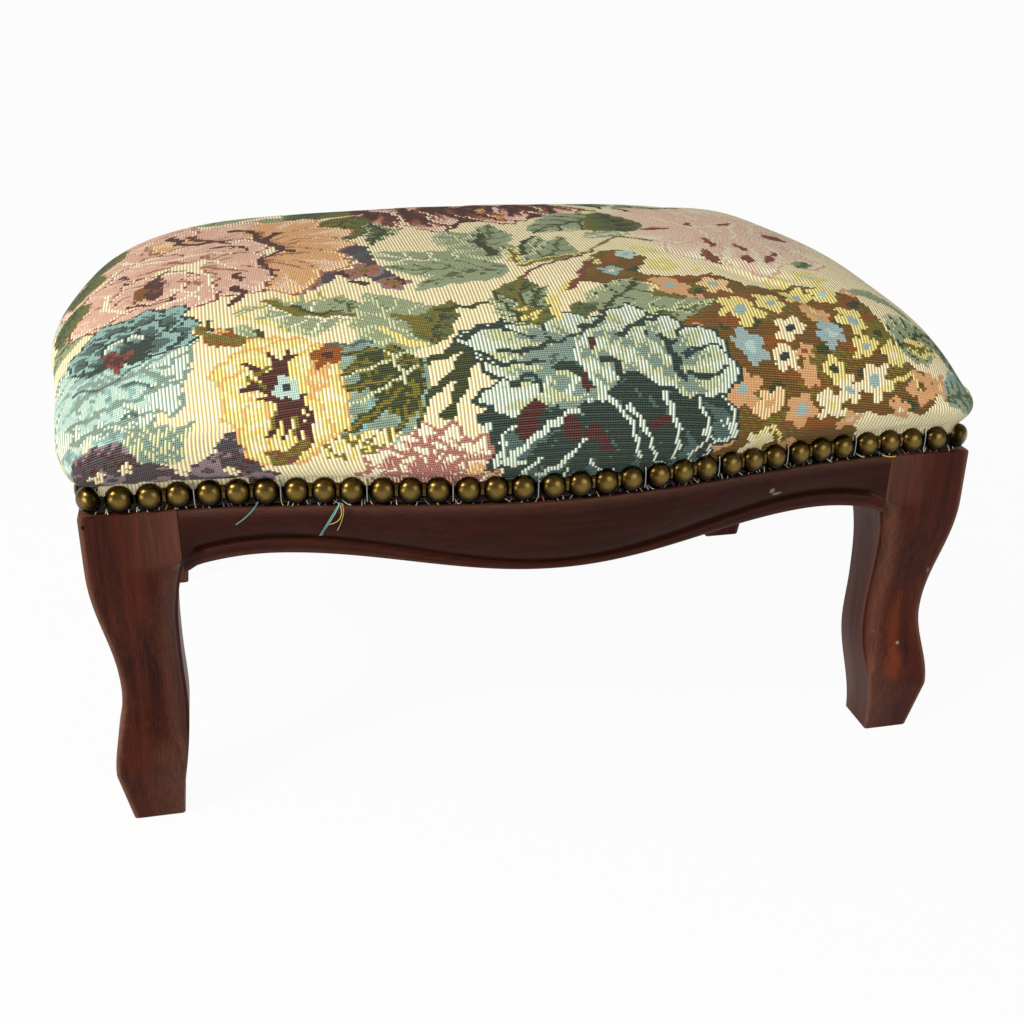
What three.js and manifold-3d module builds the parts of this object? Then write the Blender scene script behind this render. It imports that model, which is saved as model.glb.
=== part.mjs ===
// Upholstered footstool in the French provincial style: four sawn cabriole legs, four serpentine
// rails tenoned into them, a plywood seat board on screwed corner blocks, a foam pad, a tapestry
// cover and strips of brass nail heads round its edge.
// Millimetres, +Z up, the front faces -Y, the origin is on the floor below the middle of the seat.

import * as THREE from 'three';
import { mergeVertices } from 'three/addons/utils/BufferGeometryUtils.js';
import Module from 'manifold-3d';

const wasm = await Module();
wasm.setup();

// Frame
const frameWidth = 360; // over the legs, left to right
const frameDepth = 243; // over the legs, front to back
const frameHeight = 140.5; // floor to the top of the legs and rails
const seatGap = 0.3; // between two pieces that rest on or in each other
const overrun = 2; // by which a cutting shape passes what it cuts

// Leg, sawn to one curve on two faces: insets are measured from its outer faces
const legBlock = 36; // side of the square block at the top
const toeInset = 5.8; // outer faces at the floor
const heelInset = 26.2; // inner faces at the floor
const padHeight = 25; // where the foot kicks out furthest
const padInset = 1.4;
const ankleHeight = 62; // the thinnest place
const ankleInset = 6.9;
const kneeDrop = 22.5; // from the top to where the outer faces come back to the block
const calfHeight = 50; // where the inner faces stand out furthest
const calfInset = 31.7;
const hollowHeight = 72; // from here the inner faces sweep up into the rails
const hollowInset = 31.2;
const sweepDrop = 24; // from the top to where that sweep ends
const sweepPower = 3;
const curveSteps = 7; // facets on each stretch of a leg's curve

// Moulding that runs down the leg beside the rail and stops above the foot
const legMouldReach = 7; // across the face
const legMouldSink = 4.6; // into the face
const legMouldQuirk = 1; // flat step beside the inner face
const legMouldLow = 29;
const legMouldDrop = 19.5; // from the top to its upper end
const legMouldFade = 15; // length over which each end runs out
const mouldArcSteps = 4;
const mouldLevels = 12;
const thinnestMould = 0.04; // share of the full moulding that is left at its ends

// Rail
const railThickness = 20; // at its ends; the back is flat
const longSwell = 18.3; // by which the long rails belly out in plan
const shortSwell = 13; // the same of the short rails
const swellRunOut = 6; // how far past the shoulder the swelling would end
const railJointDepth = 26; // top to lower edge at the legs
const railArchDepth = 21; // the same at the top of each arch
const railBellyDepth = 30.5; // the same in the middle
const archPlaceShare = 0.75; // place of the arch's top, as a share of half the span
const railLip = 3; // flat at the top of the face
const railRound = 4.2; // how far the face rolls in below the lip
const railLedge = 1.5; // step out again to the lower band
const bandAtBelly = 3; // height of the lower band in the middle
const bandAtArch = 7; // the same at the arches
const railMouldFade = 16; // length over which the moulding fades at each leg
const railSteps = 14; // facets along half a rail
const railRoundSteps = 4;

// Mortise and tenon
const tenonLength = 14;
const tenonThickness = 10;
const tenonFace = 5; // wood in front of the tenon
const tenonShoulder = 4; // wood above and below it

// Seat board and corner blocks
const boardThickness = 12;
const blockHeight = 15;
const blockArm = 34; // length of each wing along its rail
const screwRadius = 1.8;
const screwHeadRadius = 4;
const screwHeadHeight = 2.6;
const screwTipLength = 4;
const screwSides = 10;
const boardScrewBite = 7; // depth in the board
const boardScrewAlong = 18.7; // from the leg, along the rail
const boardScrewOff = 6.5; // from the rail's back
const legScrewBite = 19; // depth in the leg

// Seat: a foam dome under a nailed tapestry cover
const ledge = 3; // wood that shows outside the cover
const coverThickness = 1.5;
const nailClearOfEdge = 5.9; // from the middle of the nail row to where the cover starts to swell
const shoulderRise = 25.5; // from the frame to the widest part of the cushion
const crownRise = 70.5; // from the frame to its top
const overhang = 8.9; // by which the cushion swells over the nails
const shoulderSwell = { front: 12, back: 8, side: 10.9 }; // what is left there of the rails' swelling
const squareCorner = 25; // exponent of the plan at the nails: nearly square
const softCorner = 8.5; // the same at the shoulder
const crownCorner = 6.7; // the same near the crown
const domeSpread = 4.88; // exponents of the dome's own section
const domeLift = 1.37;
const wallShares = [0, 0.2, 0.5, 1]; // levels from the nails to the shoulder
const domeShares = [0.98, 0.93, 0.84, 0.68, 0.46, 0.22]; // rings from shoulder to crown
const columnsLong = 16; // facets along a long side
const columnsShort = 12;

// Nail strips: pressed heads joined by low webs
const headRadius = 5.2;
const headHeight = 4.2;
const headPitch = 10.8;
const webHeight = 1.5;
const webWidth = 4.4;
const headRowShares = [[-0.92, 0], [-0.7, 0.72], [0, 1], [0.7, 0.72], [0.92, 0]]; // place and size
const headSectionShares = [[-1, 0], [-0.72, 0.7], [0, 1], [0.72, 0.7], [1, 0]]; // across and up
const frontStripHeads = [1, 2, 3, 3, 3, 3, 4, 3, 3, 3, 3, 1]; // heads in each strip
const backStrips = 8;
const sideStrips = 5;

const kneeHeight = frameHeight - kneeDrop;
const sweepTop = frameHeight - sweepDrop;
const legMouldHigh = frameHeight - legMouldDrop;
const railJointLow = frameHeight - railJointDepth;
const railArchLow = frameHeight - railArchDepth;
const railBellyLow = frameHeight - railBellyDepth;
const shoulderHeight = frameHeight + shoulderRise;
const crownHeight = frameHeight + crownRise;
const halfWidth = frameWidth / 2;
const halfDepth = frameDepth / 2;
const frontSpan = halfWidth - legBlock; // half the length of a long rail between the legs
const sideSpan = halfDepth - legBlock;
const boardBase = frameHeight + seatGap;
const boardTop = boardBase + boardThickness;
const nailHeight = boardBase + boardThickness / 2;
const wallBase = nailHeight + nailClearOfEdge;
const nailedSwell = { front: longSwell, back: longSwell, side: shortSwell };
const tenonLow = railJointLow + tenonShoulder;
const tenonHigh = frameHeight - tenonShoulder;

// Materials
const mahogany = new THREE.MeshStandardMaterial({ color: 0x4a2a22, roughness: 0.45 });
const beech = new THREE.MeshStandardMaterial({ color: 0xb08a5c, roughness: 0.8 });
const plywood = new THREE.MeshStandardMaterial({ color: 0xc2a06e, roughness: 0.85 });
const foam = new THREE.MeshStandardMaterial({ color: 0xe6d9a8, roughness: 0.95 });
const tapestry = new THREE.MeshStandardMaterial({ color: 0xd8cfae, roughness: 0.95 });
const brass = new THREE.MeshStandardMaterial({ color: 0x8a7330, roughness: 0.35, metalness: 1 });
const steel = new THREE.MeshStandardMaterial({ color: 0xa8a8a4, roughness: 0.4, metalness: 1 });

// Small helpers

const stepsOf = (count) => Array.from({ length: count + 1 }, (_, step) => step / count);

// Value that runs from one level to another with a level start and end
function eased(share, from, to) {
  const t = THREE.MathUtils.clamp(share, 0, 1);
  return from + (to - from) * (1 - Math.cos(Math.PI * t)) / 2;
}

// Bell that is 1 in the middle and 0 from `reach` on
const bell = (place, reach) => eased(1 - Math.abs(place) / reach, 0, 1);

function signedVolume(positions, index) {
  const [a, b, c] = [new THREE.Vector3(), new THREE.Vector3(), new THREE.Vector3()];
  let sum = 0;
  for (let i = 0; i < index.length; i += 3) {
    [a, b, c].forEach((corner, k) => corner.fromArray(positions, index[i + k] * 3));
    sum += a.dot(b.cross(c));
  }
  return sum;
}

// Closed body from a list of triangles, turned so that its faces point out
function closedBody(positions, index) {
  const turned = [...index];
  if (signedVolume(positions, index) < 0) {
    for (let i = 0; i < turned.length; i += 3) {
      [turned[i], turned[i + 1]] = [turned[i + 1], turned[i]];
    }
  }
  const geometry = new THREE.BufferGeometry();
  geometry.setAttribute('position', new THREE.Float32BufferAttribute(positions, 3));
  geometry.setIndex(turned);
  return geometry;
}

// Triangles that close a ring, in the ring's own order; a plane is needed only for a hollow outline
function capOf(ring, plane) {
  if (!plane) return ring.slice(2).map((_, i) => [0, i + 1, i + 2]);
  const contour = ring.map(plane);
  if (!THREE.ShapeUtils.isClockWise(contour)) return THREE.ShapeUtils.triangulateShape(contour, []);
  const turned = THREE.ShapeUtils.triangulateShape([...contour].reverse(), []);
  return turned.map((face) => face.map((corner) => ring.length - 1 - corner).reverse());
}

// Body skinned over rings of points with equal counts; a first or last ring may be one point
function skin(rings, plane) {
  const positions = rings.flat().flatMap((point) => point.toArray());
  const starts = rings.map((_, i) => rings.slice(0, i).flat().length);
  const index = [];
  rings.slice(1).forEach((upper, i) => {
    const lower = rings[i];
    const count = Math.max(lower.length, upper.length);
    for (let j = 0; j < count; j += 1) {
      const next = (j + 1) % count;
      const [a, b] = [starts[i] + (j % lower.length), starts[i] + (next % lower.length)];
      const [c, d] = [starts[i + 1] + (j % upper.length), starts[i + 1] + (next % upper.length)];
      if (a !== b) index.push(a, b, d);
      if (c !== d) index.push(a, d, c);
    }
  });
  const startCap = capOf(rings[0], plane).map((face) => face.reverse());
  const endCap = capOf(rings.at(-1), plane);
  startCap.forEach((face) => index.push(...face.map((corner) => starts[0] + corner)));
  endCap.forEach((face) => index.push(...face.map((corner) => starts.at(-1) + corner)));
  return closedBody(positions, index);
}

// Copy of a body reflected to another corner
function reflected(geometry, signX, signY) {
  const copy = geometry.clone();
  copy.scale(signX, signY, 1);
  return closedBody(Array.from(copy.attributes.position.array), Array.from(copy.index.array));
}

// Copy that keeps only positions, with its shared corners merged
function bareCopy(geometry) {
  const bare = geometry.clone();
  bare.deleteAttribute('normal');
  bare.deleteAttribute('uv');
  return mergeVertices(bare);
}

function toSolid(geometry) {
  const merged = bareCopy(geometry);
  return new wasm.Manifold(new wasm.Mesh({
    numProp: 3,
    vertProperties: new Float32Array(merged.attributes.position.array),
    triVerts: new Uint32Array(merged.index.array),
  }));
}

function toGeometry(solid) {
  const { vertProperties, triVerts } = solid.getMesh();
  const geometry = new THREE.BufferGeometry();
  geometry.setAttribute('position', new THREE.BufferAttribute(new Float32Array(vertProperties), 3));
  geometry.setIndex(Array.from(triVerts));
  return geometry;
}

// First body joined to some others, less the rest
function shaped(base, { joined = [], cut = [] }) {
  const whole = joined.reduce((sum, piece) => sum.add(toSolid(piece)), toSolid(base));
  return toGeometry(cut.reduce((rest, piece) => rest.subtract(toSolid(piece)), whole));
}

function boxBetween(low, high) {
  const box = new THREE.Box3(new THREE.Vector3(...low), new THREE.Vector3(...high));
  const [size, centre] = [box.getSize(new THREE.Vector3()), box.getCenter(new THREE.Vector3())];
  return new THREE.BoxGeometry(...size.toArray()).translate(...centre.toArray());
}

// Leg

function outerInset(height) {
  if (height < padHeight) return THREE.MathUtils.lerp(toeInset, padInset, height / padHeight);
  if (height < ankleHeight) {
    return eased((height - padHeight) / (ankleHeight - padHeight), padInset, ankleInset);
  }
  return eased((height - ankleHeight) / (kneeHeight - ankleHeight), ankleInset, 0);
}

function innerInset(height) {
  if (height < calfHeight) return eased(height / calfHeight, heelInset, calfInset);
  if (height < hollowHeight) {
    return eased((height - calfHeight) / (hollowHeight - calfHeight), calfInset, hollowInset);
  }
  const sweep = Math.min((height - hollowHeight) / (sweepTop - hollowHeight), 1);
  return hollowInset + (legBlock - hollowInset) * sweep ** sweepPower;
}

function levelsBetween(stations) {
  const levels = stations.slice(1).flatMap((top, i) => (
    stepsOf(curveSteps).slice(0, -1).map((step) => THREE.MathUtils.lerp(stations[i], top, step))
  ));
  return [...levels, stations.at(-1)];
}

// Blank sawn to the leg's curve from one side, its outer corner at the origin
function sawnBlank() {
  const outer = [0, ...levelsBetween([padHeight, ankleHeight, kneeHeight]), frameHeight];
  const inner = [...levelsBetween([0, calfHeight, hollowHeight, sweepTop]), frameHeight];
  const outline = [
    ...outer.map((height) => new THREE.Vector2(outerInset(height), height)),
    ...inner.reverse().map((height) => new THREE.Vector2(innerInset(height), height)),
  ];
  const blank = new THREE.ExtrudeGeometry(new THREE.Shape(outline), {
    depth: legBlock + 2 * overrun,
    bevelEnabled: false,
  });
  return blank.rotateX(Math.PI / 2).translate(0, legBlock + overrun, 0);
}

// Cutter for the rounded moulding on the edge between an outer and an inner face
function legMouldCutter() {
  const rings = stepsOf(mouldLevels).map((step) => {
    const height = THREE.MathUtils.lerp(legMouldLow, legMouldHigh, step);
    const fromEnd = Math.min(height - legMouldLow, legMouldHigh - height);
    const strength = eased(fromEnd / legMouldFade, thinnestMould, 1);
    const [face, side] = [outerInset(height), innerInset(height)];
    const [reach, sink] = [legMouldReach * strength, legMouldSink * strength];
    const round = reach - legMouldQuirk * strength;
    const arc = stepsOf(mouldArcSteps).map((turn) => {
      const angle = turn * Math.PI / 2;
      return [side - reach + round * Math.sin(angle), face + sink * (1 - Math.cos(angle))];
    });
    const [beyond, above] = [side + overrun, face - overrun];
    const outside = [[beyond, face + sink], [beyond, above], [side - reach, above]];
    return [...arc, ...outside].map(([x, y]) => new THREE.Vector3(x, y, height));
  });
  return skin(rings, (point) => new THREE.Vector2(point.x, point.y));
}

function mortise() {
  return boxBetween(
    [legBlock - tenonLength - seatGap, tenonFace - seatGap, tenonLow - seatGap],
    [legBlock + overrun, tenonFace + tenonThickness + seatGap, tenonHigh + seatGap],
  );
}

// The same cut or blank for the leg's other show face, across its diagonal
const acrossDiagonal = (geometry) => reflected(bareCopy(geometry).rotateZ(Math.PI / 2), -1, 1);

function legGeometry() {
  const across = toSolid(sawnBlank());
  const along = toSolid(acrossDiagonal(sawnBlank()));
  const sawn = toGeometry(across.intersect(along));
  const cuts = [legMouldCutter(), mortise()];
  return shaped(sawn, { cut: [...cuts, ...cuts.map(acrossDiagonal), legScrewHole()] });
}

// Rail, lying along X with the legs' outer face at y = 0 and its back towards +Y

function railLowerEdge(share) {
  const place = Math.abs(share);
  if (place < archPlaceShare) return eased(place / archPlaceShare, railBellyLow, railArchLow);
  const fall = (place - archPlaceShare) / (1 - archPlaceShare);
  return railArchLow - (railArchLow - railJointLow) * fall ** 2;
}

function railSection(x, span, swelling) {
  const share = x / span;
  const front = -swelling * bell(x, span + swellRunOut);
  const low = railLowerEdge(share);
  const strength = eased((span - Math.abs(x)) / railMouldFade, 0, 1);
  const band = eased(Math.abs(share) / archPlaceShare, bandAtBelly, bandAtArch);
  const [roundTop, roundLow] = [frameHeight - railLip, low + band];
  const arc = stepsOf(railRoundSteps).slice(1).map((step) => [
    front + railRound * strength * (1 - Math.cos(step * Math.PI / 2)),
    roundTop + (roundLow - roundTop) * Math.sin(step * Math.PI / 2),
  ]);
  const bandFace = front + (railRound - railLedge) * strength;
  return [
    [railThickness, frameHeight], [front, frameHeight], [front, roundTop],
    ...arc, [bandFace, roundLow - railLedge / 2], [bandFace, low], [railThickness, low],
  ].map(([y, z]) => new THREE.Vector3(x, y, z));
}

function railGeometry(span, swelling) {
  const end = span - seatGap;
  const rings = stepsOf(2 * railSteps).map((step) => (
    railSection(THREE.MathUtils.lerp(-end, end, step), span, swelling)
  ));
  const body = skin(rings, (point) => new THREE.Vector2(point.y, point.z));
  const tenon = boxBetween(
    [end - overrun, tenonFace, tenonLow],
    [span + tenonLength - seatGap, tenonFace + tenonThickness, tenonHigh],
  );
  return shaped(body, { joined: [tenon, reflected(bareCopy(tenon), -1, 1)] });
}

// Screws and corner blocks, drawn at a corner whose leg has its outer corner at the origin

function screwGeometry(length) {
  const profile = [
    [0, 0], [screwHeadRadius, 0], [screwHeadRadius, screwHeadHeight], [screwRadius, screwHeadHeight],
    [screwRadius, screwHeadHeight + length - screwTipLength], [0, screwHeadHeight + length],
  ].map(([radius, height]) => new THREE.Vector2(radius, height));
  return bareCopy(new THREE.LatheGeometry(profile, screwSides)).rotateX(Math.PI / 2);
}

function screwHole(length) {
  const radius = screwRadius + seatGap;
  const hole = new THREE.CylinderGeometry(radius, radius, length, screwSides);
  return bareCopy(hole).rotateX(Math.PI / 2).translate(0, 0, length / 2);
}

const blockBase = frameHeight - blockHeight;
const blockNear = legBlock + seatGap; // beside the leg
const blockBack = railThickness + seatGap; // beside a rail's back
const blockFar = blockNear + blockArm;
const blockSlant = (blockFar + blockBack) / 2; // middle of the long face, on the diagonal
const legScrewThrough = Math.SQRT2 * (blockSlant - legBlock);
const legScrewHeight = blockBase + blockHeight / 2;
const boardScrewPlace = [legBlock + boardScrewAlong, railThickness + boardScrewOff];

// Turns a body that stands on the origin to point at the leg, and moves it out along the diagonal
const toDiagonal = (geometry, place, height) => (
  geometry.rotateY(-Math.PI / 2).rotateZ(Math.PI / 4).translate(place, place, height)
);

function legScrewHole() {
  const entry = blockSlant + overrun;
  const depth = legScrewThrough + legScrewBite + Math.SQRT2 * overrun + seatGap;
  return toDiagonal(screwHole(depth), entry, legScrewHeight);
}

function blockGeometry() {
  const outline = [
    [blockNear, blockBack], [blockFar, blockBack], [blockBack, blockFar],
    [blockBack, blockNear], [blockNear, blockNear],
  ].map(([x, y]) => new THREE.Vector2(x, y));
  const body = new THREE.ExtrudeGeometry(new THREE.Shape(outline), {
    depth: blockHeight,
    bevelEnabled: false,
  });
  const boardHole = screwHole(blockHeight + 2 * overrun).translate(...boardScrewPlace, blockBase - overrun);
  return shaped(body.translate(0, 0, blockBase), { cut: [boardHole, legScrewHole()] });
}

function legScrewGeometry() {
  const head = blockSlant + (screwHeadHeight + seatGap) / Math.SQRT2;
  return toDiagonal(screwGeometry(legScrewThrough + legScrewBite), head, legScrewHeight);
}

function boardScrewGeometry() {
  const length = boardBase + boardScrewBite - blockBase;
  const head = blockBase - seatGap - screwHeadHeight;
  return screwGeometry(length).translate(...boardScrewPlace, head);
}

// Seat

// Directions of the columns of points round the seat, on a square of half side 1
const columnsAlong = (count) => stepsOf(count).slice(0, -1).map((step) => (
  step - 0.5 - Math.cos(Math.PI * step) / 2
));
const seatColumns = [
  ...columnsAlong(columnsLong).map((place) => [place, -1]),
  ...columnsAlong(columnsShort).map((place) => [1, place]),
  ...columnsAlong(columnsLong).map((place) => [-place, 1]),
  ...columnsAlong(columnsShort).map((place) => [-1, -place]),
];

// Point of the seat's plan in one direction; `ring` says how far out, how square and how swollen
function seatPoint([p, q], ring) {
  const reach = (Math.abs(p) ** ring.corner + Math.abs(q) ** ring.corner) ** (1 / ring.corner);
  const [u, v] = [p / reach, q / reach];
  const x = u * (halfWidth - ledge + ring.grow);
  const y = v * (halfDepth - ledge + ring.grow);
  return new THREE.Vector3(
    ring.share * (x + u * ring.swell.side * bell(y, sideSpan + swellRunOut)),
    ring.share * (y + v * ring.swell[v < 0 ? 'front' : 'back'] * bell(x, frontSpan + swellRunOut)),
    ring.height,
  );
}

const seatRing = (ring) => seatColumns.map((direction) => seatPoint(direction, ring));

// Straight strip of cover that the nails hold, `inset` inside the outer face of the cloth
const nailedRing = (height, inset) => ({
  share: 1, grow: -inset, height, corner: squareCorner, swell: nailedSwell,
});

function wallRing(share, inset) {
  return {
    share: 1,
    grow: overhang * Math.sin(share * Math.PI / 2) - inset,
    height: THREE.MathUtils.lerp(wallBase, shoulderHeight, share),
    corner: squareCorner * (softCorner / squareCorner) ** share,
    swell: Object.fromEntries(Object.entries(nailedSwell).map(([side, swell]) => (
      [side, THREE.MathUtils.lerp(swell, shoulderSwell[side], share)]
    ))),
  };
}

function domeRing(share, inset) {
  const turn = Math.acos(share ** (domeSpread / 2)) / (Math.PI / 2);
  const rise = (1 - share ** domeSpread) ** (1 / domeLift);
  return {
    share,
    grow: overhang - inset,
    height: shoulderHeight + (crownHeight - shoulderHeight - inset) * rise,
    corner: THREE.MathUtils.lerp(softCorner, crownCorner, Math.sqrt(turn)),
    swell: shoulderSwell,
  };
}

// Rings of the cushion's surface from the crown down to where it starts to swell
const cushionRings = (inset) => [
  [new THREE.Vector3(0, 0, crownHeight - inset)],
  ...[...domeShares].reverse().map((share) => seatRing(domeRing(share, inset))),
  ...[...wallShares].reverse().map((share) => seatRing(wallRing(share, inset))),
];

function coverGeometry() {
  const hem = boardBase;
  const [outside, inside] = [cushionRings(0), cushionRings(coverThickness)];
  const hemRings = [0, coverThickness].map((inset) => seatRing(nailedRing(hem, inset)));
  return skin([...outside, ...hemRings, ...inside.reverse()]);
}

function foamGeometry() {
  const base = boardTop + seatGap;
  const [below, ...rings] = cushionRings(coverThickness + seatGap).reverse();
  const share = (base - below[0].z) / (rings[0][0].z - below[0].z);
  const baseRing = below.map((point, i) => point.clone().lerp(rings[0][i], share));
  return skin([[new THREE.Vector3(0, 0, base)], baseRing, ...rings]);
}

function boardGeometry() {
  const ring = seatRing(nailedRing(0, coverThickness + seatGap));
  const outline = new THREE.Shape(ring.map(({ x, y }) => new THREE.Vector2(x, y)));
  const body = new THREE.ExtrudeGeometry(outline, { depth: boardThickness, bevelEnabled: false });
  const hole = screwHole(boardScrewBite + seatGap + overrun);
  hole.translate(boardScrewPlace[0] - halfWidth, boardScrewPlace[1] - halfDepth, boardBase - overrun);
  const holes = corners.map(([, signX, signY]) => reflected(hole, -signX, -signY));
  return shaped(body.translate(0, 0, boardBase), { cut: holes });
}

// Nail strips

// Line that the nails follow on the cover, and how far along it each facet of the cover ends
const nailOutline = seatRing(nailedRing(nailHeight, 0));
const nailLine = new THREE.CurvePath();
nailOutline.forEach((point, i) => {
  nailLine.add(new THREE.LineCurve3(point, nailOutline[(i + 1) % nailOutline.length]));
});
const lineLength = nailLine.getLength();
const facetPlaces = [0, ...nailLine.getCurveLengths()];
const roundLine = (place) => THREE.MathUtils.euclideanModulo(place, lineLength);
const pointAlong = (place) => nailLine.getPoint(roundLine(place) / lineLength);

// Frame seated on the cover between two places: X along it, Y up, Z straight out
function seatedMatrix(from, to) {
  const [start, end] = [pointAlong(from), pointAlong(to)];
  const up = new THREE.Vector3(0, 0, 1);
  const along = end.clone().sub(start).normalize();
  const out = new THREE.Vector3().crossVectors(along, up);
  const middle = start.clone().add(end).divideScalar(2);
  const under = nailOutline.filter((_, i) => roundLine(facetPlaces[i] - from) < to - from);
  const high = Math.max(0, ...under.map((point) => out.dot(point.clone().sub(middle))));
  const basis = new THREE.Matrix4().makeBasis(along, up, out);
  return basis.setPosition(middle.addScaledVector(out, high + seatGap));
}

// Sections of one pressed head, from the neck before it to the neck after it
function headRings(place) {
  const matrix = seatedMatrix(place - headRadius, place + headRadius);
  return headRowShares.map(([along, size]) => {
    const half = Math.max(size * headRadius, webWidth / 2);
    const high = Math.max(size * headHeight, webHeight);
    return headSectionShares.map(([across, up]) => (
      new THREE.Vector3(along * headRadius, across * half, up * high).applyMatrix4(matrix)
    ));
  });
}

const stripGeometry = (places) => skin(places.flatMap(headRings));

// Heads along one side, evenly spaced between the heads at its two corners
function headPlaces(from, to) {
  const count = Math.round((to - from) / headPitch);
  return stepsOf(count).slice(1, -1).map((step) => THREE.MathUtils.lerp(from, to, step));
}

// Split of a side's heads into strips, in the proportions of a hand-made list of counts
function splitInto(heads, counts) {
  const total = counts.reduce((sum, count) => sum + count, 0);
  let seen = 0;
  return counts.map((count) => {
    const from = Math.round(seen / total * heads.length);
    seen += count;
    return heads.slice(from, Math.round(seen / total * heads.length));
  });
}

// Assembly

const corners = [
  ['front_left', -1, -1],
  ['front_right', 1, -1],
  ['back_left', -1, 1],
  ['back_right', 1, 1],
];

// The four sides in turn: name, facets of the cover along it, and heads in each strip
const sides = [
  ['front', columnsLong, frontStripHeads],
  ['right', columnsShort, Array(sideStrips).fill(1)],
  ['back', columnsLong, Array(backStrips).fill(1)],
  ['left', columnsShort, Array(sideStrips).fill(1)],
];

const footstool = new THREE.Group();

function addPiece(name, geometry, material) {
  const piece = new THREE.Mesh(geometry, material);
  piece.name = name;
  footstool.add(piece);
  return piece;
}

const cornerPieces = [
  ['leg', legGeometry(), mahogany],
  ['corner_block', blockGeometry(), beech],
  ['leg_screw', legScrewGeometry(), steel],
  ['board_screw', boardScrewGeometry(), steel],
];

cornerPieces.forEach(([name, geometry, material]) => {
  const standing = geometry.translate(-halfWidth, -halfDepth, 0);
  corners.forEach(([corner, signX, signY]) => {
    addPiece(`${name}_${corner}`, reflected(standing, -signX, -signY), material);
  });
});

const [longRail, shortRail] = [railGeometry(frontSpan, longSwell), railGeometry(sideSpan, shortSwell)];
addPiece('rail_front', longRail, mahogany).position.set(0, -halfDepth, 0);
addPiece('rail_back', longRail, mahogany).position.set(0, halfDepth, 0);
addPiece('rail_left', shortRail, mahogany).position.set(-halfWidth, 0, 0);
addPiece('rail_right', shortRail, mahogany).position.set(halfWidth, 0, 0);
footstool.getObjectByName('rail_back').rotation.z = Math.PI;
footstool.getObjectByName('rail_left').rotation.z = -Math.PI / 2;
footstool.getObjectByName('rail_right').rotation.z = Math.PI / 2;

addPiece('seat_board', boardGeometry(), plywood);
addPiece('foam_pad', foamGeometry(), foam);
addPiece('tapestry_cover', coverGeometry(), tapestry);

let facet = 0;
sides.forEach(([side, facets, counts], turn) => {
  const [from, to] = [facetPlaces[facet], facetPlaces[facet + facets]];
  facet += facets;
  addPiece(`nail_corner_${turn + 1}`, stripGeometry([from]), brass);
  splitInto(headPlaces(from, to), counts).forEach((places, i) => {
    addPiece(`nail_strip_${side}_${String(i + 1).padStart(2, '0')}`, stripGeometry(places), brass);
  });
});

export default footstool;
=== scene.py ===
"""Looks of a small upholstered footstool: sawn cabriole legs, moulded rails, a domed seat in woven
floral tapestry and strips of brass nail heads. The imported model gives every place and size."""

import math

import bpy
import numpy as np
from bpy.props import FloatProperty, FloatVectorProperty, PointerProperty
from mathutils import Matrix, Vector
from mathutils.bvhtree import BVHTree
from mathutils.geometry import barycentric_transform


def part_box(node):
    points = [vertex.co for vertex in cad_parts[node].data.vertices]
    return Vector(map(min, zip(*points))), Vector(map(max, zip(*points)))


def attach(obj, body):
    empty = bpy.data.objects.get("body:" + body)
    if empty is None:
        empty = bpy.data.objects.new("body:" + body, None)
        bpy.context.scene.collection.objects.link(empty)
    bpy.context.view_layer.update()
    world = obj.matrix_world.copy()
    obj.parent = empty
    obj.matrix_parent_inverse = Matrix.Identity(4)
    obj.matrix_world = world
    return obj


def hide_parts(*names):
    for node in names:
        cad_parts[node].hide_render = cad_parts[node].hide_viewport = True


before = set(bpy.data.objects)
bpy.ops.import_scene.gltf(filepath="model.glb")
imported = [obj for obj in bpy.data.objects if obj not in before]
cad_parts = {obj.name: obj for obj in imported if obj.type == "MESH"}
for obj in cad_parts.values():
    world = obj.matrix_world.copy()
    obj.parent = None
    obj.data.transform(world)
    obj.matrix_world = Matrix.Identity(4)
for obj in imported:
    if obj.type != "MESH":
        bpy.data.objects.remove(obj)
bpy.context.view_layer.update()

bl_info = {
    "name": "Tapestry footstool",
    "version": (1, 0, 0),
    "blender": (4, 5, 0),
    "location": "View3D > Sidebar > Footstool",
    "description": "Builds the surfaces and finishes of a small upholstered footstool",
    "category": "Object",
}

BODY = "root"
MM = 0.001

LEG_LOW, LEG_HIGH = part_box("leg_front_left")
BOARD_LOW, BOARD_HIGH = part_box("seat_board")
COVER_LOW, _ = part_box("tapestry_cover")
CORNERS = {"front_left": (-1, -1), "front_right": (1, -1), "back_left": (-1, 1), "back_right": (1, 1)}


# Colours

def linear(code):
    """sRGB hex value as a linear colour"""
    shares = [int(code[i:i + 2], 16) / 255 for i in (1, 3, 5)]
    return [s / 12.92 if s <= 0.04045 else ((s + 0.055) / 1.055) ** 2.4 for s in shares] + [1.0]


def length(label, text, default):
    """Property for a length in metres"""
    return FloatProperty(name=label, description=text, default=default, unit="LENGTH", precision=5)


def lengths(label, text, default):
    return FloatVectorProperty(name=label, description=text, default=default, size=len(default),
                               unit="LENGTH", precision=5)


def factor(label, text, default):
    """Property for a plain number"""
    return FloatProperty(name=label, description=text, default=default)


def factors(label, text, default):
    return FloatVectorProperty(name=label, description=text, default=default, size=len(default))


def colour(label, text, code):
    return FloatVectorProperty(name=label, description=text, default=linear(code), size=4,
                               subtype="COLOR", min=0, max=1)


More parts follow.
